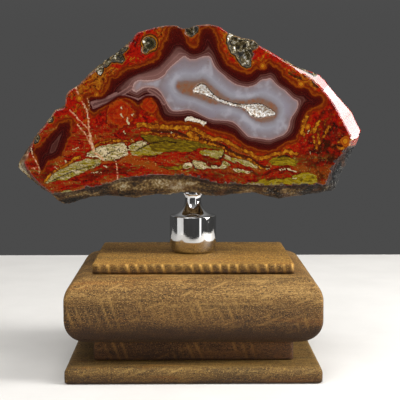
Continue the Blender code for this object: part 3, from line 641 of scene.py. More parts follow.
def copy_of_node(node, name):
    """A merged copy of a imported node, as a new piece."""
    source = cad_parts[node]
    piece = bpy.data.objects.new(name, source.data.copy())
    bpy.context.scene.collection.objects.link(piece)
    piece.data.materials.clear()
    take_up(piece)
    bpy.ops.object.mode_set(mode="EDIT")
    bpy.ops.mesh.select_all(action="SELECT")
    bpy.ops.mesh.remove_doubles(threshold=0.01 * MM)
    bpy.ops.mesh.normals_make_consistent(inside=False)
    bpy.ops.object.mode_set(mode="OBJECT")
    return piece


def remesh(piece, voxel):
    take_up(piece)
    step = piece.modifiers.new("even mesh", "REMESH")
    step.mode = "VOXEL"
    step.voxel_size = voxel * MM
    step.use_smooth_shade = True
    bpy.ops.object.modifier_apply(modifier=step.name)


def thin_out(piece, may_go, share):
    """Keeps that share of the triangles; those that go are taken from the points that may go."""
    take_up(piece)
    group = piece.vertex_groups.new(name="may be thinned")
    for index in np.flatnonzero(may_go):
        group.add([int(index)], 1.0, "REPLACE")
    step = piece.modifiers.new("thin out", "DECIMATE")
    step.ratio = share
    step.vertex_group = group.name
    step.vertex_group_factor = 10.0
    bpy.ops.object.modifier_apply(modifier=step.name)
    piece.vertex_groups.clear()


def dress(piece, finish, slot, *nodes):
    """The piece takes its finish, rides with the object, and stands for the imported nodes."""
    piece.data.materials.clear()
    piece.data.materials.append(finish)
    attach(piece, "root")
    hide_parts(*nodes)


def keep_inside(points, node):
    """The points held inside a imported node's box."""
    low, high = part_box(node)
    return np.clip(points, np.array(low) / MM, np.array(high) / MM)


def above_edge(x, z, edge):
    """How far each vertex is from the edge's vertices, and how steeply it lies above the nearest of them."""
    column = np.round((x - x.min()) / EDGE_CELL).astype(int)
    row = np.round((z - z.min()) / EDGE_CELL).astype(int)
    taken = np.zeros((column.max() + 1, row.max() + 1), bool)
    taken[column[edge], row[edge]] = True
    distance = np.full(taken.shape, OUT_OF_REACH)
    steep = np.zeros(taken.shape)
    for across in range(-EDGE_REACH, EDGE_REACH + 1):
        for up in range(-EDGE_REACH, EDGE_REACH + 1):
            far = EDGE_CELL * math.hypot(across, up)
            nearer = np.roll(taken, (across, up), (0, 1)) & (far < distance)
            distance[nearer] = far
            steep[nearer] = up * EDGE_CELL / max(far, EDGE_CELL)
    return distance[column, row], steep[column, row]


def agate_stone(finish):
    """The sawn and polished half nodule, with its rind's crumbs, its open pits and its drawing's fields."""
    piece = copy_of_node("agate", "agate_stone")
    remesh(piece, STONE_VOXEL)
    behind = points_of(piece)[:, 1] - FACE_Y
    thin_out(piece, behind > BACK_FROM, TRIANGLES_KEPT)
    points = points_of(piece)
    normals = normals_of(piece)
    flat = (points[:, 1] - FACE_Y < FLAT_WITHIN) & (-normals[:, 1] > 0.9)
    points[flat, 1] = FACE_Y
    behind = points[:, 1] - FACE_Y
    x, z = points[:, 0], points[:, 2]

    # the polished bevel, ground flat between its two edges
    on_bevel = smooth_step(x, BEVEL_X, BEVEL_X + 9) * smooth_step(z, BEVEL_Z - 3, BEVEL_Z)
    inner = distance_to_line(x, z, BEVEL_INNER)
    outer = distance_to_line(x, z, BEVEL_OUTER)
    fall = np.minimum(BEVEL_FALL, BEVEL_SLOPE * (inner + outer))
    ground = ~flat & (behind < fall + 1) & (on_bevel > 0.3) & (x + z > BEVEL_SIDE)
    points[ground, 1] = np.maximum(points[:, 1], FACE_Y + fall * inner / (inner + outer))[ground]
    chamfer = smooth_step(x, CHAMFER_X, CHAMFER_X + 12) * smooth_step(z, BEVEL_Z, BEVEL_Z + 6)

    # the rind, with a ragged margin along the face's lower edge
    polish_ends = POLISHED_EDGE + 0.6 * chamfer + on_bevel * (fall - 0.7)
    crumble = (0.5 + 1.3 * on_bevel) * lumps(points, 3.1, 1)
    rind = smooth_step(behind + crumble, polish_ends, polish_ends + 0.9)
    low = smooth_step(z, LOW_EDGE_Z, LOW_EDGE_Z - 4) * smooth_step(x, LOW_EDGE_X, LOW_EDGE_X + 8)
    edge, above = above_edge(x, z, ~flat & (behind < 2) & (z < LOW_EDGE_Z))
    ragged = 0.7 + 1.5 * lumps(points, 3.4, 8) + 1.0 * lumps(points, 1.3, 9)
    margin = flat * low * smooth_step(above, 0.1, 0.4) * smooth_step(ragged - edge, -0.15, 0.25)
    rind = np.where(flat, margin, np.maximum(rind, low))
    rim = smooth_step(behind, 0.05, 0.5) * smooth_step(behind, 1.9, 1.1)
    rim = np.maximum(rim, flat * smooth_step(1 + normals[:, 1], 0.01, 0.06))
    rim = rim * (1 - on_bevel) * (1 - 0.7 * chamfer)

    # its relief, and the open pits
    coarse = lumps(points, 5.2, 2)
    medium = lumps(points, 2.1, 3)
    fine = lumps(points, 1.0, 4)
    sink = 0.55 + 0.8 * coarse + 0.75 * np.abs(medium) + 0.35 * fine
    points -= normals * (rind * np.clip(sink, 0, 2) * np.where(flat, 0.35, 1.0))[:, None]

    rough = np.min([distance_to_outline(x, z, outline) for outline in ROUGH], axis=0)
    pit = smooth_step(-rough, -0.1, 0.9) * (behind < BACK_FROM)
    crystals = np.abs(lumps(points, 1.3, 5)) + 0.5 * np.abs(lumps(points, 0.7, 6))
    points[:, 1] += pit * (0.25 + 1.5 * crystals)
    place_points(piece, keep_inside(points, "agate"))

    lens, tone = lens_fields(x, z)
    write_fields(piece, {
        "growth": growth_bands(x, z),
        "lens": lens,
        "lens_tone": tone,
        "vein": nearest_stroke(x, z, VEINS),
        "gold": nearest_stroke(x, z, GOLD),
        "dark": nearest_stroke(x, z, DARK),
        "cream": nearest_stroke(x, z, CREAM),
        "mauve": nearest_stroke(x, z, MAUVE),
        "deposit": distance_to_outline(x, z, DEPOSIT),
        "rough": np.where(behind + 2.5 * lumps(points, 3.0, 7) < 3.5, rough, OUT_OF_REACH),
        "eye": np.where(behind < 5, round_field(x, z, EYES), OUT_OF_REACH),
        "spot": round_field(x, z, AMBER_SPOTS),
        "dome": round_field(x, z, DOMES),
        "bed": bedding(x, z),
        "warm": tones(x, z, PATCHES),
        "shade": tones(x, z, SHADES),
        "haze": tones(x, z, HAZES),
        "crust_tone": tones(x, z, CRUST_TONES),
        "rind": rind,
        "rim": rim,
        # the rim's pale chips, made lighter on the upper left as a painted highlight
        "rim_chips_and_highlight": smooth_step(-x, -20, 5) * smooth_step(z, 100, 112),
    })
    take_up(piece)
    bpy.ops.object.shade_smooth()
    dress(piece, finish, "agate", "agate")
    return piece


def quartz_point():
    """One six-sided crystal, a millimetre across, standing on the origin."""
    deselect()
    bpy.ops.mesh.primitive_cone_add(vertices=6, radius1=0.5 * MM, radius2=0.46 * MM, depth=0.6 * MM)
    point = bpy.context.object
    bpy.ops.object.mode_set(mode="EDIT")
    bpy.ops.mesh.select_all(action="DESELECT")
    mesh = bmesh.from_edit_mesh(point.data)
    for face in mesh.faces:
        face.select = face.normal.z > 0.9
    bmesh.update_edit_mesh(point.data)
    bpy.ops.mesh.extrude_region_move(TRANSFORM_OT_translate={"value": (0, 0, 0.5 * MM)})
    bpy.ops.transform.resize(value=(0.12, 0.12, 1))
    bpy.ops.object.mode_set(mode="OBJECT")
    settle(point)
    return point


def druse(finish):
    """The vug's lining: its bed, and small quartz points standing all over it."""
    bed = copy_of_node("druse_crust", "druse")
    point = quartz_point()
    draw = random.Random(11)
    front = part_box("druse_crust")[0][1]
    joined = bmesh.new()
    joined.from_mesh(bed.data)
    seats = [face for face in bed.data.polygons if face.normal.y < -0.2]
    for face in seats:
        for _ in range(1 + int(face.area / (QUARTZ_SPACING * MM) ** 2)):
            corners = [bed.data.vertices[i].co for i in face.vertices]
            shares = [draw.random() + 0.05 for _ in corners]
            seat = sum((c * s for c, s in zip(corners, shares)), Vector()) / sum(shares)
            tilt = Vector([draw.uniform(-QUARTZ_LEAN, QUARTZ_LEAN) for _ in range(3)])
            lean = (face.normal + tilt).normalized()
            size = draw.uniform(*QUARTZ_SIZES)
            turn = lean.to_track_quat("Z", "Y").to_matrix().to_4x4()
            place = Matrix.Translation(seat) @ turn @ Matrix.Rotation(draw.uniform(0, 1), 4, "Z")
            so_far = len(joined.verts)
            joined.from_mesh(point.data)
            joined.verts.ensure_lookup_table()
            for vertex in joined.verts[so_far:]:
                vertex.co = place @ (vertex.co * size)
                vertex.co.y = max(vertex.co.y, front)
    joined.to_mesh(bed.data)
    joined.free()
    bpy.data.objects.remove(point, do_unlink=True)
    dress(bed, finish, "druse", "druse_crust")
    return bed


def arc_points(centre, radius, start, end, steps):
    """Points (inset, z) of an arc, by angle in degrees from straight outwards."""
    angles = [math.radians(start + (end - start) * i / steps) for i in range(steps + 1)]
    return [(centre[0] - radius * math.cos(a), centre[1] + radius * math.sin(a)) for a in angles]


def quarter_turn(steps):
    """The sine and cosine at even steps from 0 to 90 degrees."""
    angles = [math.radians(90 * step / steps) for step in range(steps + 1)]
    return [(math.sin(angle), math.cos(angle)) for angle in angles]


def post_profile():
    """(radius, z) points from the stud's foot to the spigot's top."""
    outline = [(STUD_RADIUS, POST_FOOT - STUD_DEPTH), (STUD_RADIUS, POST_FOOT - FACE_GAP)]
    for sine, cosine in quarter_turn(12):
        radius = CUP_FOOT_RADIUS + (CUP_RADIUS - CUP_FOOT_RADIUS) * sine
        outline.append((radius, CUP_ROUND_TOP - (CUP_ROUND_TOP - POST_FOOT) * cosine))
    for inset, z in arc_points((CUP_ARRIS, CUP_TOP - CUP_ARRIS), CUP_ARRIS, 0, 90, 5):
        outline.append((CUP_RADIUS - inset, z))
    reach = CUP_RADIUS - CUP_ARRIS - NECK_RADIUS
    for sine, cosine in quarter_turn(20)[1:]:
        outline.append((NECK_RADIUS + reach * (1 - sine), NECK_FOOT - (NECK_FOOT - CUP_TOP) * cosine))
    for sine, cosine in quarter_turn(8):
        radius = FLARE_RADIUS - (FLARE_RADIUS - NECK_RADIUS) * cosine
        outline.append((radius, FLARE_FOOT + (FLARE_TOP - FLARE_FOOT) * sine))
    outline.append((FLARE_RADIUS, POST_TOP))
    return outline + [(SPIGOT_RADIUS, POST_TOP + FACE_GAP), (SPIGOT_RADIUS, POST_TOP + SPIGOT_RISE)]


def chrome_post(finish):
    """The turned post: a disc drawn up through its profile."""
    profile = post_profile()
    deselect()
    radius, z = profile[0]
    bpy.ops.mesh.primitive_circle_add(
        vertices=POST_SIDES, radius=radius * MM, fill_type="NGON", location=(0, POST_Y * MM, z * MM)
    )
    piece = bpy.context.object
    piece.name = "turned_post"
    settle(piece)
    bpy.ops.object.mode_set(mode="EDIT")
    bpy.ops.mesh.select_all(action="SELECT")
    for (radius, z), (next_radius, next_z) in zip(profile, profile[1:]):
        bpy.ops.mesh.extrude_region_move(TRANSFORM_OT_translate={"value": (0, 0, (next_z - z) * MM)})
        share = next_radius / radius
        if share != 1:
            bpy.ops.transform.resize(value=(share, share, 1), center_override=(0, POST_Y * MM, next_z * MM))
    bpy.ops.mesh.select_all(action="SELECT")
    bpy.ops.mesh.normals_make_consistent(inside=False)
    bpy.ops.object.mode_set(mode="OBJECT")
    take_up(piece)
    bpy.ops.object.shade_smooth_by_angle(angle=math.radians(SHARP_ANGLE))
    dress(piece, finish, "chrome", "chrome_post")
    return piece


# The plinth's boards

def select_edges(piece, wanted):
    """In edit mode, selects the edges for which wanted(edge) is true."""
    bpy.ops.mesh.select_all(action="DESELECT")
    bpy.ops.mesh.select_mode(type="EDGE")
    mesh = bmesh.from_edit_mesh(piece.data)
    for edge in mesh.edges:
        edge.select = bool(wanted(edge))
    mesh.select_flush_mode()
    bmesh.update_edit_mesh(piece.data)


def rim_at(z):
    """Whether an edge runs along a board's rim at that height."""
    return lambda edge: all(abs(vertex.co.z / MM - z) < 0.01 for vertex in edge.verts)


def corner_of_board(edge):
    """Whether an edge runs up a corner, between two sides that look different ways."""
    if len(edge.link_faces) != 2:
        return False
    first, second = (face.normal for face in edge.link_faces)
    sideways = abs(first.x) > abs(first.y)
    return sideways != (abs(second.x) > abs(second.y)) and max(abs(first.z), abs(second.z)) < 0.97


def sawn_board(name, node, inset, low, high, lower_round, upper_round, seed, marks, finish, slot):
    """A board cut to size, its edges rounded over, with the saw's and the rasp's marks left on it.

    marks holds how much of it the saw marked, how far the notches lean, and where there are more of them."""
    deselect()
    width, depth = PLINTH_WIDTH - 2 * inset, PLINTH_DEPTH - 2 * inset
    bpy.ops.mesh.primitive_cube_add(size=MM, location=(0, 0, (low + high) / 2 * MM))
    piece = bpy.context.object
    piece.name = name
    piece.scale = (width, depth, high - low)
    settle(piece)
    bpy.ops.object.mode_set(mode="EDIT")
    for z, reach in ((high, upper_round), (low, lower_round)):
        if reach:
            select_edges(piece, rim_at(z))
            bpy.ops.mesh.bevel(offset=reach * MM, segments=max(2, int(reach)), affect="EDGES")
    select_edges(piece, corner_of_board)
    bpy.ops.mesh.bevel(
        offset=CORNER_RADIUS * MM, segments=CORNER_STEPS, affect="EDGES", clamp_overlap=True
    )
    bpy.ops.mesh.select_all(action="SELECT")
    bpy.ops.mesh.normals_make_consistent(inside=False)
    bpy.ops.object.mode_set(mode="OBJECT")
    remesh(piece, WOOD_VOXEL)

    points = points_of(piece)
    normals = normals_of(piece)
    x, y, z = points.T
    coverage, lean, spots = marks
    end_grain = smooth_step(np.abs(normals[:, 0]), 0.6, 0.8)
    on_side = 1 - smooth_step(np.abs(normals[:, 2]), 0.75, 0.95)
    along = np.where(np.abs(normals[:, 0]) > 0.7, y, x)
    slant = along + lean * (z - low) + 1.2 * lumps(points, 14.0, seed)
    tooth = np.abs((slant / SAW_PITCH + 0.5) % 1 - 0.5) * SAW_PITCH
    sawn = coverage + tones(along, z, spots) + 0.5 * lumps(points, 13.0, seed + 1)
    patches = smooth_step(sawn, 0.0, 0.35)
    length = 0.4 + 0.6 * smooth_step(lumps(points * (1.3, 1.3, 0.3), 5.0, seed + 2), -0.3, 0.1)
    kerf = ROUNDED_KERF if lower_round else SQUARE_KERF
    notch = np.exp(-((tooth / kerf) ** 2)) * patches * length * on_side
    scratch_line = z * 0.93 - along * 0.37 + 0.6 * lumps(points, 20.0, seed + 3)
    strand = np.abs((scratch_line / SCRATCH_PITCH + 0.5) % 1 - 0.5) * SCRATCH_PITCH
    upper = smooth_step(z, (low + high) / 2, high - 3)
    scratch_patch = smooth_step(lumps(points * (0.6, 0.6, 1.6), 6.0, seed + 4), 0.28 - 0.2 * upper, 0.45)
    scratch = np.exp(-((strand / SCRATCH_WIDTH) ** 2)) * scratch_patch * on_side
    # painted shade: darker where the faces look downwards
    painted_underside_shade = smooth_step(-normals[:, 2] + 0.15 * lumps(points, 8.0, seed + 7), -0.1, 0.6)
    painted_underside_shade = np.where(z - low > GAP, painted_underside_shade, 0)
    # painted shade: the sides grow darker towards the board's foot
    painted_low_side_shade = smooth_step(high - z, 0.15 * (high - low), 0.8 * (high - low))
    fuzz = lumps(points * (0.35, 1.0, 1.0), 1.1, seed + 5)
    waves = lumps(points * (0.4, 1.0, 1.0), 9.0, seed + 6)
    sink = 0.28 * notch + 0.12 * scratch + 0.10 * np.abs(fuzz) + 0.12 * np.abs(waves)
    points -= normals * sink[:, None]
    place_points(piece, keep_inside(points, node))
    write_fields(piece, {
        "saw": notch,
        "scratch": scratch,
        "end_grain": end_grain,
        "side": on_side,
        "painted_underside_shade": painted_underside_shade,
        # the painted shade towards the foot of the sides
        "low": painted_low_side_shade * on_side,
    })
    take_up(piece)
    bpy.ops.object.shade_smooth()
    dress(piece, finish, slot, node)
    return piece


# Finishes

class Finish:
    """A material being wired up. Each call adds one node and gives back its output."""

    def __init__(self, name):
        self.material = bpy.data.materials.new(name)
        self.material.use_nodes = True
        self.tree = self.material.node_tree
        self.shader = self.tree.nodes["Principled BSDF"]
        self.where = self.node("ShaderNodeTexCoord").outputs["Object"]

    def node(self, kind, **settings):
        made = self.tree.nodes.new(kind)
        for name, value in settings.items():
            setattr(made, name, value)
        return made

    def put(self, socket, value):
        if isinstance(value, bpy.types.NodeSocket):
            self.tree.links.new(value, socket)
        elif isinstance(value, tuple) and len(value) == 3 and socket.type == "RGBA":
            socket.default_value = (*value, 1)
        else:
            socket.default_value = value

    def set(self, **sockets):
        for name, value in sockets.items():
            self.put(self.shader.inputs[name.replace("_", " ")], value)

    def field(self, name):
        return self.node("ShaderNodeAttribute", attribute_name=name).outputs["Fac"]

    def stretched(self, across=(1, 1, 1), turn=(0, 0, 0)):
        """The place on the object in millimetres, squeezed by the given numbers after a turn in degrees."""
        made = self.node("ShaderNodeMapping")
        self.put(made.inputs["Vector"], self.where)
        made.inputs["Rotation"].default_value = [math.radians(angle) for angle in turn]
        made.inputs["Scale"].default_value = [share / MM for share in across]
        return made.outputs["Vector"]

    def noise(self, size, detail=3.0, at=None, twist=0.0, roughness=0.5):
        """Noise from 0 to 1 whose lumps are about that many millimetres."""
        made = self.node("ShaderNodeTexNoise")
        self.put(made.inputs["Vector"], at or self.stretched())
        made.inputs["Scale"].default_value = 1 / size
        made.inputs["Detail"].default_value = detail
        made.inputs["Roughness"].default_value = roughness
        made.inputs["Distortion"].default_value = twist
        return made.outputs[0]

    def calc(self, operation, a, b=0.0, c=0.0, clamp=False):
        made = self.node("ShaderNodeMath", operation=operation, use_clamp=clamp)
        for socket, value in zip(made.inputs, (a, b, c)):
            self.put(socket, value)
        return made.outputs[0]

    def add(self, a, b):
        return self.calc("ADD", a, b)

    def times(self, a, b):
        return self.calc("MULTIPLY", a, b)

    def step(self, value, low, high):
        """0 below low, 1 above high, smooth between; the other way round if low is the higher."""
        made = self.node("ShaderNodeMapRange", interpolation_type="SMOOTHSTEP")
        flip = low > high
        for name, number in (("Value", value), ("From Min", min(low, high)), ("From Max", max(low, high)),
                             ("To Min", float(flip)), ("To Max", float(not flip))):
            self.put(made.inputs[name], number)
        return made.outputs["Result"]

    def ramp(self, value, *stops):
        """Colours by value: each stop is its place and an sRGB hex colour."""
        made = self.node("ShaderNodeValToRGB")
        self.put(made.inputs["Fac"], value)
        ramp = made.color_ramp
        while len(ramp.elements) < len(stops):
            ramp.elements.new(1.0)
        for element, (place, colour) in zip(ramp.elements, stops):
            element.position = place
            element.color = (*srgb(colour), 1)
        return made.outputs["Color"]

    def mix(self, share, a, b, blend="MIX"):
        made = self.node("ShaderNodeMix", data_type="RGBA", blend_type=blend)
        self.put(made.inputs[0], share)
        self.put(made.inputs[6], a)
        self.put(made.inputs[7], b)
        return made.outputs[2]

    def lay(self, under, share, strength, colour):
        """The hex colour laid over what is under it, by share times strength."""
        return self.mix(self.times(share, strength), under, srgb(colour))

    def bump(self, height, depth, under=None):
        """A bump whose height of 1 is that many millimetres."""
        made = self.node("ShaderNodeBump")
        made.inputs["Distance"].default_value = depth * MM
        self.put(made.inputs["Height"], height)
        if under:
            self.put(made.inputs["Normal"], under)
        return made.outputs["Normal"]


def srgb(colour):
    """Linear red, green and blue from a hex colour such as 8d8b8f."""
    parts = [int(colour[i:i + 2], 16) / 255 for i in (0, 2, 4)]
    return tuple(p / 12.92 if p <= 0.04045 else ((p + 0.055) / 1.055) ** 2.4 for p in parts)


def chalcedony_bands(m, growth):
    """The grey chamber with its halo, then plum, maroon and the first orange, by growth."""
    heart = m.ramp(
        m.times(growth, 0.5),
        (0.0, "745644"), (0.25, "72584a"), (0.4, "725e58"), (0.5, "776c6e"), (0.57, "807c82"),
        (0.66, "88868e"), (0.75, "7f7a82"), (0.84, "7a7074"), (0.91, "75696c"), (0.955, "7c6a6c"),
        (0.982, "866c68"), (1.0, "a88a84"),
    )
    shell = m.ramp(
        m.times(m.add(growth, -2.0), 1 / 3),
        (0.0, "a88a84"), (0.014, "6c4842"), (0.045, "603e3a"), (0.085, "502c28"), (0.1, "4a2622"),
        (0.115, "80605a"), (0.13, "4a241e"), (0.19, "401c17"), (0.22, "54322b"), (0.25, "3a100b"),
        (0.29, "300503"), (0.315, "300301"), (0.332, "441410"), (0.347, "340301"), (0.42, "340301"),
        (0.52, "3c0501"),
        (0.62, "440800"), (0.665, "541800"), (0.7, "7a3602"), (0.735, "682400"), (0.78, "5c1000"),
        (0.83, "6c2800"), (0.89, "621000"), (1.0, "700c00"),
    )
    return m.mix(m.step(growth, 1.999, 2.001), heart, shell)


def agate_finish():
    """Banded chalcedony in red and amber jasper, polished in front, with a dull brown rind."""
    m = Finish("banded_agate")
    wander = m.add(m.noise(2.6, 2), -0.5)
    tremble = m.add(m.noise(0.9, 2), -0.5)
    speckle = m.noise(0.55, 2)
    growth_raw = m.field("growth")
    near_red = m.step(growth_raw, 2.6, 4.2)
    shift = m.add(m.times(wander, m.add(0.08, m.times(near_red, 0.7))), m.times(tremble, 0.1))
    growth = m.add(growth_raw, shift)
    colour = chalcedony_bands(m, growth)

    mauve = m.add(m.field("mauve"), m.times(tremble, 0.8))
    in_mauve = m.times(m.step(mauve, 0.35, -0.15), m.step(growth, 3.6, 3.0))
    mauve_colour = m.mix(m.step(mauve, -0.75, -0.25), srgb("5c3c38"), srgb("86605a"))
    colour = m.mix(m.times(in_mauve, 0.75), colour, mauve_colour)

    haze = m.times(m.field("haze"), m.times(m.step(growth, 2.02, 2.12), m.step(growth, 3.0, 2.3)))
    colour = m.lay(colour, haze, 0.85, "805c56")

    # soft clouds in the grey, and rust in the halo
    cloud = m.noise(7.0, 3)
    in_grey = m.times(m.step(growth, 1.0, 1.25), m.step(growth, 1.99, 1.85))
    colour = m.lay(colour, m.times(in_grey, m.step(cloud, 0.5, 0.68)), 0.6, "9c9aa2")
    colour = m.lay(colour, m.times(in_grey, m.step(cloud, 0.48, 0.3)), 0.6, "7c7480")
    rust = m.times(m.step(m.noise(2.4, 4), 0.46, 0.66), m.step(growth, 1.06, 0.8))
    colour = m.lay(colour, rust, 0.6, "80451e")

    # jasper: mottled red, warmed in patches
    warm = m.field("warm")
    mottle = m.add(m.times(m.noise(4.5, 4, twist=0.8), 0.62), m.times(m.noise(1.3, 3), 0.38))
    mottle = m.add(mottle, m.times(warm, 0.2))
    jasper = m.ramp(
        mottle,
        (0.33, "300200"), (0.41, "640400"), (0.47, "8e0900"), (0.53, "961400"), (0.58, "802a00"),
        (0.66, "7e3a06"), (0.76, "8c4e0a"), (0.88, "a06812"),
    )
    swirl = m.add(m.times(growth_raw, 1.7), m.times(m.noise(3.6, 3), 3.4))
    rings = m.calc("PINGPONG", swirl, 0.5)
    warm_here = m.step(mottle, 0.5, 0.6)
    jasper = m.lay(jasper, m.times(m.step(rings, 0.36, 0.46), warm_here), 0.75, "a4660e")
    dark_ring = m.times(m.step(rings, 0.13, 0.03), m.add(warm_here, 0.35))
    jasper = m.lay(jasper, dark_ring, 0.7, "3c0c00")
    far = m.step(growth, 4.3, 4.75)
    colour = m.mix(far, colour, jasper)

    # the lower half's streaks, along its layers
    bed = m.field("bed")
    low_half = m.times(m.step(bed, 1.0, -2.0), m.step(growth, 4.05, 4.3))
    along = m.node("ShaderNodeCombineXYZ")
    apart = m.node("ShaderNodeSeparateXYZ")
    m.put(apart.inputs[0], m.stretched())
    m.put(along.inputs[0], m.times(apart.outputs["X"], 0.3))
    m.put(along.inputs[2], bed)
    streak = m.times(m.noise(2.6, 5, at=along.outputs[0], twist=1.6), 0.7)
    streak = m.add(streak, m.times(m.noise(1.4, 4), 0.3))
    streaked = m.ramp(
        streak,
        (0.35, "200400"), (0.41, "540800"), (0.46, "820a00"), (0.51, "8e1600"), (0.545, "722604"),
        (0.58, "763a0a"), (0.62, "5e4412"), (0.67, "86783a"), (0.74, "a89a60"),
    )
    colour = m.mix(m.times(low_half, 0.8), colour, streaked)
    blots = m.noise(5.5, 4, at=along.outputs[0], twist=1.0)
    colour = m.lay(colour, m.times(low_half, m.step(blots, 0.52, 0.62)), 0.65, "84420c")
    colour = m.lay(colour, m.times(low_half, m.step(blots, 0.44, 0.36)), 0.6, "340800")
    seeds = m.times(m.step(m.noise(0.9, 3), 0.6, 0.66), m.step(blots, 0.48, 0.56))
    colour = m.lay(colour, m.times(low_half, seeds), 0.55, "b09650")

    shade = m.times(m.field("shade"), m.add(0.5, m.step(m.noise(3.0, 4), 0.4, 0.6)))
    colour = m.mix(m.times(far, shade), colour, srgb("2c0c00"))

    # round growths
    dome = m.add(m.field("dome"), m.times(wander, 0.8))
    dome_colour = m.ramp(
        dome,
        (0.0, "a03406"), (0.2, "8c1c00"), (0.36, "983606"), (0.46, "7c1400"), (0.62, "922400"),
        (0.72, "8c3a06"), (0.82, "5c0a00"), (0.95, "6c1000"),
    )
    in_dome = m.times(m.step(dome, 1.02, 0.9), m.step(growth, 3.95, 4.15))
    colour = m.mix(m.times(in_dome, m.step(m.noise(1.6, 4), 0.72, 0.5)), colour, dome_colour)

    # specks of grey-green clay
    specks = m.times(m.step(m.noise(1.0, 3), 0.6, 0.68), m.step(m.noise(7.0, 2), 0.47, 0.6))
    colour = m.mix(m.times(specks, m.times(far, 0.5)), colour, srgb("80704a"))
    colour = m.mix(m.times(m.step(speckle, 0.5, 0.3), m.times(far, 0.25)), colour, srgb("240400"))

    # lenses
    fray = m.add(m.noise(1.7, 4, at=along.outputs[0]), -0.5)
    lens = m.add(m.field("lens"), m.add(m.times(fray, 3.4), m.times(tremble, 0.8)))
    tone = m.field("lens_tone")
    grain = m.noise(1.1, 5, at=along.outputs[0], twist=1.2)
    pale = m.add(m.times(tone, 0.8), m.times(m.add(grain, -0.47), m.add(1.1, m.times(tone, 1.9))))
    lens_colour = m.ramp(
        pale,
        (0.0, "503c08"), (0.16, "745e0a"), (0.34, "86720a"), (0.5, "84783a"), (0.66, "948456"),
        (0.82, "aa9870"), (1.0, "c4b290"),
    )
    crumb = m.step(m.noise(0.7, 3), 0.53, 0.6)
    lens_colour = m.mix(m.times(crumb, m.add(0.12, m.times(tone, 0.75))), lens_colour, srgb("2e2808"))
    edge = m.times(m.step(lens, 0.8, 0.2), m.step(m.noise(2.3, 2), 0.38, 0.6))
    colour = m.lay(colour, edge, 0.85, "3a1604")
    colour = m.mix(m.step(lens, 0.15, -0.15), colour, lens_colour)

    # drawn strokes
    dark = m.add(m.field("dark"), m.times(tremble, 1.2))
    colour = m.lay(colour, m.step(dark, 0.3, -0.1), 0.85, "241004")
    gold = m.add(m.field("gold"), m.add(m.times(m.add(m.noise(1.5, 3), -0.5), 3.2), 0.1))
    colour = m.lay(colour, m.step(gold, 0.8, 0.3), 0.9, "4a1602")
    gold_colour = m.ramp(m.noise(1.6, 3), (0.35, "6e3204"), (0.5, "8c5008"), (0.65, "ac7414"))
    colour = m.mix(m.step(gold, 0.25, -0.1), colour, gold_colour)
    vein = m.add(m.field("vein"), m.add(m.times(tremble, 1.8), 0.12))
    vein_colour = m.ramp(m.noise(1.3, 3), (0.35, "a05a38"), (0.5, "c88c64"), (0.65, "d4bc9c"))
    colour = m.mix(m.times(m.step(vein, 0.25, -0.15), 0.78), colour, vein_colour)
    cream = m.add(m.field("cream"), m.add(m.times(tremble, 2.2), 0.15))
    colour = m.mix(m.step(cream, 0.2, -0.15), colour, srgb("b0a27a"))

    # eyes, amber spots, pits and the white deposit
    spot = m.add(m.field("spot"), m.times(wander, 0.9))
    spot_colour = m.ramp(
        spot,
        (0.0, "a0620c"), (0.4, "a4680e"), (0.6, "7a2a02"), (0.8, "944c08"), (1.0, "641400"),
    )
    colour = m.mix(m.times(m.step(spot, 1.05, 0.9), m.step(growth, 3.95, 4.1)), colour, spot_colour)
    rough = m.add(m.field("rough"), m.times(wander, 1.6))
    # the pits' dark crystals, with white specks painted as their glints
    pit_colour_and_glints = m.ramp(
        m.noise(2.5, 5, roughness=0.75),
        (0.4, "0a0804"), (0.46, "281e0c"), (0.52, "524418"), (0.57, "807048"), (0.61, "c4c0b4"),
        (0.66, "f0eeea"),
    )
    colour = m.mix(m.step(rough, 1.3, 0.9), colour, srgb("804208"))
    colour = m.mix(m.step(rough, 0.8, 0.4), colour, srgb("241404"))
    eye = m.add(m.field("eye"), m.times(wander, 0.35))
    eye_colour = m.ramp(
        eye,
        (0.0, "4a4014"), (0.3, "2c260e"), (0.5, "54481a"), (0.6, "1c1206"), (0.7, "6a3e08"),
        (0.79, "9a5e0e"), (0.87, "241004"), (1.0, "6a2404"),
    )
    deposit = m.add(m.field("deposit"), m.times(tremble, 1.4))
    white = m.ramp(m.noise(1.0, 2), (0.4, "a89880"), (0.6, "d8d0c0"))
    colour = m.mix(m.step(deposit, 0.15, -0.2), colour, white)

    # rind
    rind = m.field("rind")
    grit = m.add(m.times(m.noise(6.0, 5, at=m.stretched((0.5, 1, 1))), 0.6), m.times(m.noise(1.2, 3), 0.4))
    crust = m.ramp(
        m.add(grit, m.times(m.field("crust_tone"), 0.5)),
        (0.37, "0c0804"), (0.44, "2a1c0c"), (0.5, "4c361a"), (0.545, "6a5028"), (0.6, "8c7448"),
        (0.67, "b4a88c"),
    )
    crust = m.mix(m.step(m.field("crust_tone"), -0.02, -0.2), crust, srgb("040302"))
    glint = m.times(m.step(m.noise(1.0, 4, roughness=0.75), 0.6, 0.65), m.step(m.noise(8.0, 2), 0.44, 0.56))
    glint = m.times(glint, m.step(m.field("crust_tone"), 0.08, 0.0))
    crust = m.lay(crust, glint, 0.8, "b0aca0")
    stain = m.step(m.noise(9.0, 3), 0.52, 0.66)
    crust = m.lay(crust, stain, 0.55, "54300e")
    colour = m.mix(m.step(m.add(rind, m.times(tremble, 0.8)), 0.1, 0.4), colour, crust)

    # the rim: pale chips with a painted highlight along the upper-left edge, dark brown elsewhere
    rim_and_highlight_colour = m.ramp(m.noise(3.0, 4), (0.4, "3c2410"), (0.5, "6e4624"), (0.6, "c0a07c"))
    rim_and_highlight_colour = m.mix(m.field("rim_chips_and_highlight"), srgb("2c1408"), rim_and_highlight_colour)
    colour = m.mix(m.times(m.step(m.field("rim"), 0.3, 0.9), 0.65), colour, rim_and_highlight_colour)
    colour = m.mix(m.step(eye, 1.06, 0.96), colour, eye_colour)
    in_pit = m.step(rough, 0.2, -0.1)
    colour = m.mix(in_pit, colour, pit_colour_and_glints)

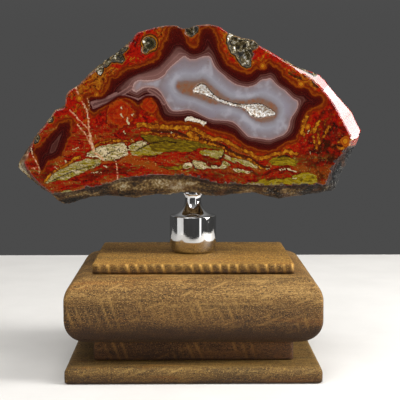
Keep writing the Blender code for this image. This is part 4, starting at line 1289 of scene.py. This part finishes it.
    polish = m.add(0.07, m.times(m.noise(3.0, 3), 0.05))
    dull = m.calc("MAXIMUM", m.calc("MAXIMUM", rind, m.times(m.field("rim"), 0.75)), m.times(in_pit, 0.8))
    m.set(
        Base_Color=colour,
        Roughness=m.add(polish, m.times(dull, 0.85)),
        IOR=1.54,
        Normal=m.bump(m.times(m.noise(0.9, 4), dull), 0.5, m.bump(m.noise(30.0, 1), 0.05)),
    )
    return m.material


def quartz_finish():
    """Small clear and milky crystals, stained tan between them."""
    m = Finish("druse_quartz")
    milk = m.ramp(
        m.noise(1.1, 3),
        (0.3, "745a44"), (0.42, "bca890"), (0.5, "e4dcd2"), (0.58, "f4f2f0"), (0.75, "ffffff"),
    )
    m.set(
        Base_Color=milk,
        Roughness=m.add(0.08, m.times(m.noise(0.8, 2), 0.3)),
        IOR=1.54,
        Coat_Weight=0.4,
        Normal=m.bump(m.noise(0.35, 2), 0.06),
    )
    return m.material


def chrome_finish():
    """Polished chrome with a faint trace of the turning."""
    m = Finish("polished_chrome")
    haze = m.noise(6.0, 3, at=m.stretched((1, 1, 0.25)))
    turning = m.noise(0.25, 2, at=m.stretched((0.02, 0.02, 1)))
    m.set(
        Base_Color=m.ramp(haze, (0.35, "c6c4c0"), (0.65, "d8d8d8")),
        Metallic=1.0,
        Roughness=m.add(0.03, m.times(haze, 0.05)),
        Normal=m.bump(turning, 0.004),
    )
    return m.material


def wood_finish(name, dark, body, light, notch_colour, side_dark=0.0):
    """Stained hardwood with fine flecked grain along X, the saw's notches showing paler."""
    m = Finish(name)
    grain = m.noise(1.5, 5, at=m.stretched((0.08, 1, 1)), roughness=0.7)
    fleck = m.noise(0.62, 4, at=m.stretched((0.5, 1, 1)), roughness=0.85)
    figure = m.noise(14.0, 4, at=m.stretched((0.25, 1, 1)), twist=0.6)
    tone = m.add(m.times(grain, 0.24), m.add(m.times(fleck, 0.52), m.times(figure, 0.24)))
    colour = m.ramp(tone, (0.42, dark), (0.48, body), (0.52, body), (0.575, light))
    streaks = m.noise(7.0, 4, at=m.stretched((0.12, 1, 1)), twist=0.4)
    orange = m.times(m.step(streaks, 0.55, 0.64), m.step(grain, 0.4, 0.55))
    colour = m.lay(colour, orange, 0.35, "96580e")
    colour = m.lay(colour, m.step(streaks, 0.45, 0.36), 0.4, dark)
    pores = m.step(m.noise(0.5, 2, at=m.stretched((0.2, 1, 1))), 0.4, 0.33)
    colour = m.lay(colour, pores, 0.8, "1c1208")
    glints = m.step(m.noise(0.45, 3, at=m.stretched((0.7, 1, 1))), 0.55, 0.64)
    colour = m.lay(colour, glints, 0.75, notch_colour)
    colour = m.mix(m.times(m.field("side"), side_dark), colour, srgb(dark))
    marks = m.times(m.field("saw"), m.step(fleck, 0.2, 0.5))
    colour = m.lay(colour, marks, 0.95, notch_colour)
    colour = m.lay(colour, m.field("scratch"), 0.6, notch_colour)
    colour = m.lay(colour, m.field("end_grain"), 0.3, dark)
    # painted shade, darkening the sides towards each board's foot
    colour = m.mix(m.field("low"), colour, srgb("bcae90"), "MULTIPLY")
    # painted shade on the faces that look downwards
    colour = m.lay(colour, m.field("painted_underside_shade"), 0.8, "261306")
    relief = m.add(m.times(grain, 0.5), m.times(fleck, 1.1))
    m.set(
        Base_Color=colour,
        Roughness=m.add(0.5, m.times(fleck, 0.3)),
        Specular_IOR_Level=0.3,
        Normal=m.bump(relief, 0.5),
    )
    return m.material


# The picture

# Each lamp's name, place and target, width and height in metres, and power in watts. edge_light and
# raking_light make the glare that runs down the stone's bevel.
LAMPS = (
    ("key", (-0.5, -0.7, 0.6), (0, 0, 0.08), 0.4, 0.4, 1.5),
    ("left_window", (-0.57, -0.26, 0.1), (0, 0, 0.08), 0.4, 0.42, 0.5),
    ("right_window", (0.36, -0.5, 0.1), (0, 0, 0.08), 0.09, 0.42, 0.22),
    ("edge_light", (0.57, -0.22, 0.67), (0.055, -0.016, 0.152), 0.14, 0.38, 2.4),
    ("overhead", (-0.1, -0.3, 0.95), (0, 0, 0.05), 0.6, 0.6, 5.0),
    ("raking_light", (0.72, -0.15, 0.32), (0.07, 0, 0.13), 0.27, 0.5, 7.9),
)
LENS = 89.57
SENSOR_WIDTH = 36.0
CAMERA_PLACE = (-2.9229, -526.2081, 140.0886)  # in millimetres
CAMERA_DIP = 0.1036  # radians below level
CAMERA_ROLL = -0.0126


def studio_floor():
    """A plain pale floor, just under the object."""
    deselect()
    bpy.ops.mesh.primitive_plane_add(size=1, location=(0, -0.05, -0.0002))
    floor = bpy.context.object
    floor.name = "studio_floor"
    floor.scale = (1.2, 0.8, 1.0)
    settle(floor)
    m = Finish("pale_floor")
    m.set(
        Base_Color=m.ramp(m.noise(40, 3), (0.3, "dcd9d4"), (0.7, "e3e0db")),
        Roughness=m.add(0.6, m.times(m.noise(12, 2), 0.1)),
        Normal=m.bump(m.noise(3, 2), 0.05),
    )
    floor.data.materials.append(m.material)


def softbox(name, place, target, width, height, power):
    """A soft lamp, in metres and watts, turned to its target."""
    lamp = bpy.data.lights.new(name, "AREA")
    lamp.shape = "RECTANGLE"
    lamp.size = width
    lamp.size_y = height
    lamp.energy = power
    holder = bpy.data.objects.new(name, lamp)
    bpy.context.scene.collection.objects.link(holder)
    holder.location = place
    holder.rotation_euler = (Vector(target) - Vector(place)).to_track_quat("-Z", "Y").to_euler()


def soft_surround(horizon, overhead):
    """A dome of soft light, dim at the horizon and bright overhead."""
    world = bpy.data.worlds.new("studio")
    bpy.context.scene.world = world
    world.use_nodes = True
    tree = world.node_tree
    apart = tree.nodes.new("ShaderNodeSeparateXYZ")
    height = tree.nodes.new("ShaderNodeMapRange")
    height.interpolation_type = "SMOOTHSTEP"
    for name, value in (("From Min", 0.05), ("From Max", 0.9), ("To Min", horizon), ("To Max", overhead)):
        height.inputs[name].default_value = value
    where = tree.nodes.new("ShaderNodeTexCoord")
    tree.links.new(where.outputs["Generated"], apart.inputs[0])
    tree.links.new(apart.outputs["Z"], height.inputs["Value"])
    background = tree.nodes["Background"]
    background.inputs["Color"].default_value = (1, 1, 1, 1)
    tree.links.new(height.outputs["Result"], background.inputs["Strength"])


def photo_camera():
    """The photograph's view: a long lens a little above the stone, looking slightly down."""
    lens = bpy.data.cameras.new("camera")
    lens.sensor_width = SENSOR_WIDTH
    lens.lens = LENS
    lens.clip_start = 0.01
    camera = bpy.data.objects.new("camera", lens)
    bpy.context.scene.collection.objects.link(camera)
    camera.location = [place * MM for place in CAMERA_PLACE]
    camera.rotation_euler = (math.pi / 2 - CAMERA_DIP, 0, CAMERA_ROLL)
    bpy.context.scene.camera = camera


def main():
    agate_stone(agate_finish())
    druse(quartz_finish())
    chrome_post(chrome_finish())
    brown = wood_finish("brown_wood", "342208", "704f22", "a48048", "c49a58")
    golden = wood_finish("golden_wood", "46300e", "80581a", "a87c32", "f0bc62", side_dark=0.5)
    deep = wood_finish("deep_wood", "24140a", "5a3a20", "80562c", "9a6e36")
    olive = wood_finish("olive_wood", "2a1e0c", "64481e", "8c6c34", "ac8a4c")
    sawn_board("wood_foot_plate", "foot_plate", 0, 0, FOOT_TOP, FOOT_ARRIS, FOOT_EDGE, 31,
               (-0.2, 0.3, ((48.0, 4.0, 6.0, 0.3),)), olive, "wood")
    sawn_board("wood_neck_block", "neck_block", NECK_INSET, FOOT_TOP + 0.02, NECK_TOP + 0.28, 0, 0, 37,
               (0.0, 0.4, ((-42.0, 13.0, 6.0, 0.4), (20.0, 13.0, 10.0, 0.4))), deep, "dark_wood")
    sawn_board("wood_bolster", "bolster", 0, NECK_TOP + GAP, BOLSTER_TOP - GAP, BOLSTER_LOWER_ROUND,
               BOLSTER_UPPER_ROUND, 43, (-0.15, 0.34, BOLSTER_MARKS), brown, "wood")
    sawn_board("wood_top_board", "top_board", BOARD_INSET, BOLSTER_TOP, BOARD_TOP, 0, BOARD_ARRIS, 53,
               (1.0, 0.25, ()), golden, "wood")
    studio_floor()
    soft_surround(0.07, 0.4)
    for lamp in LAMPS:
        softbox(*lamp)
    photo_camera()
    bpy.context.scene.view_settings.view_transform = "Standard"


main()
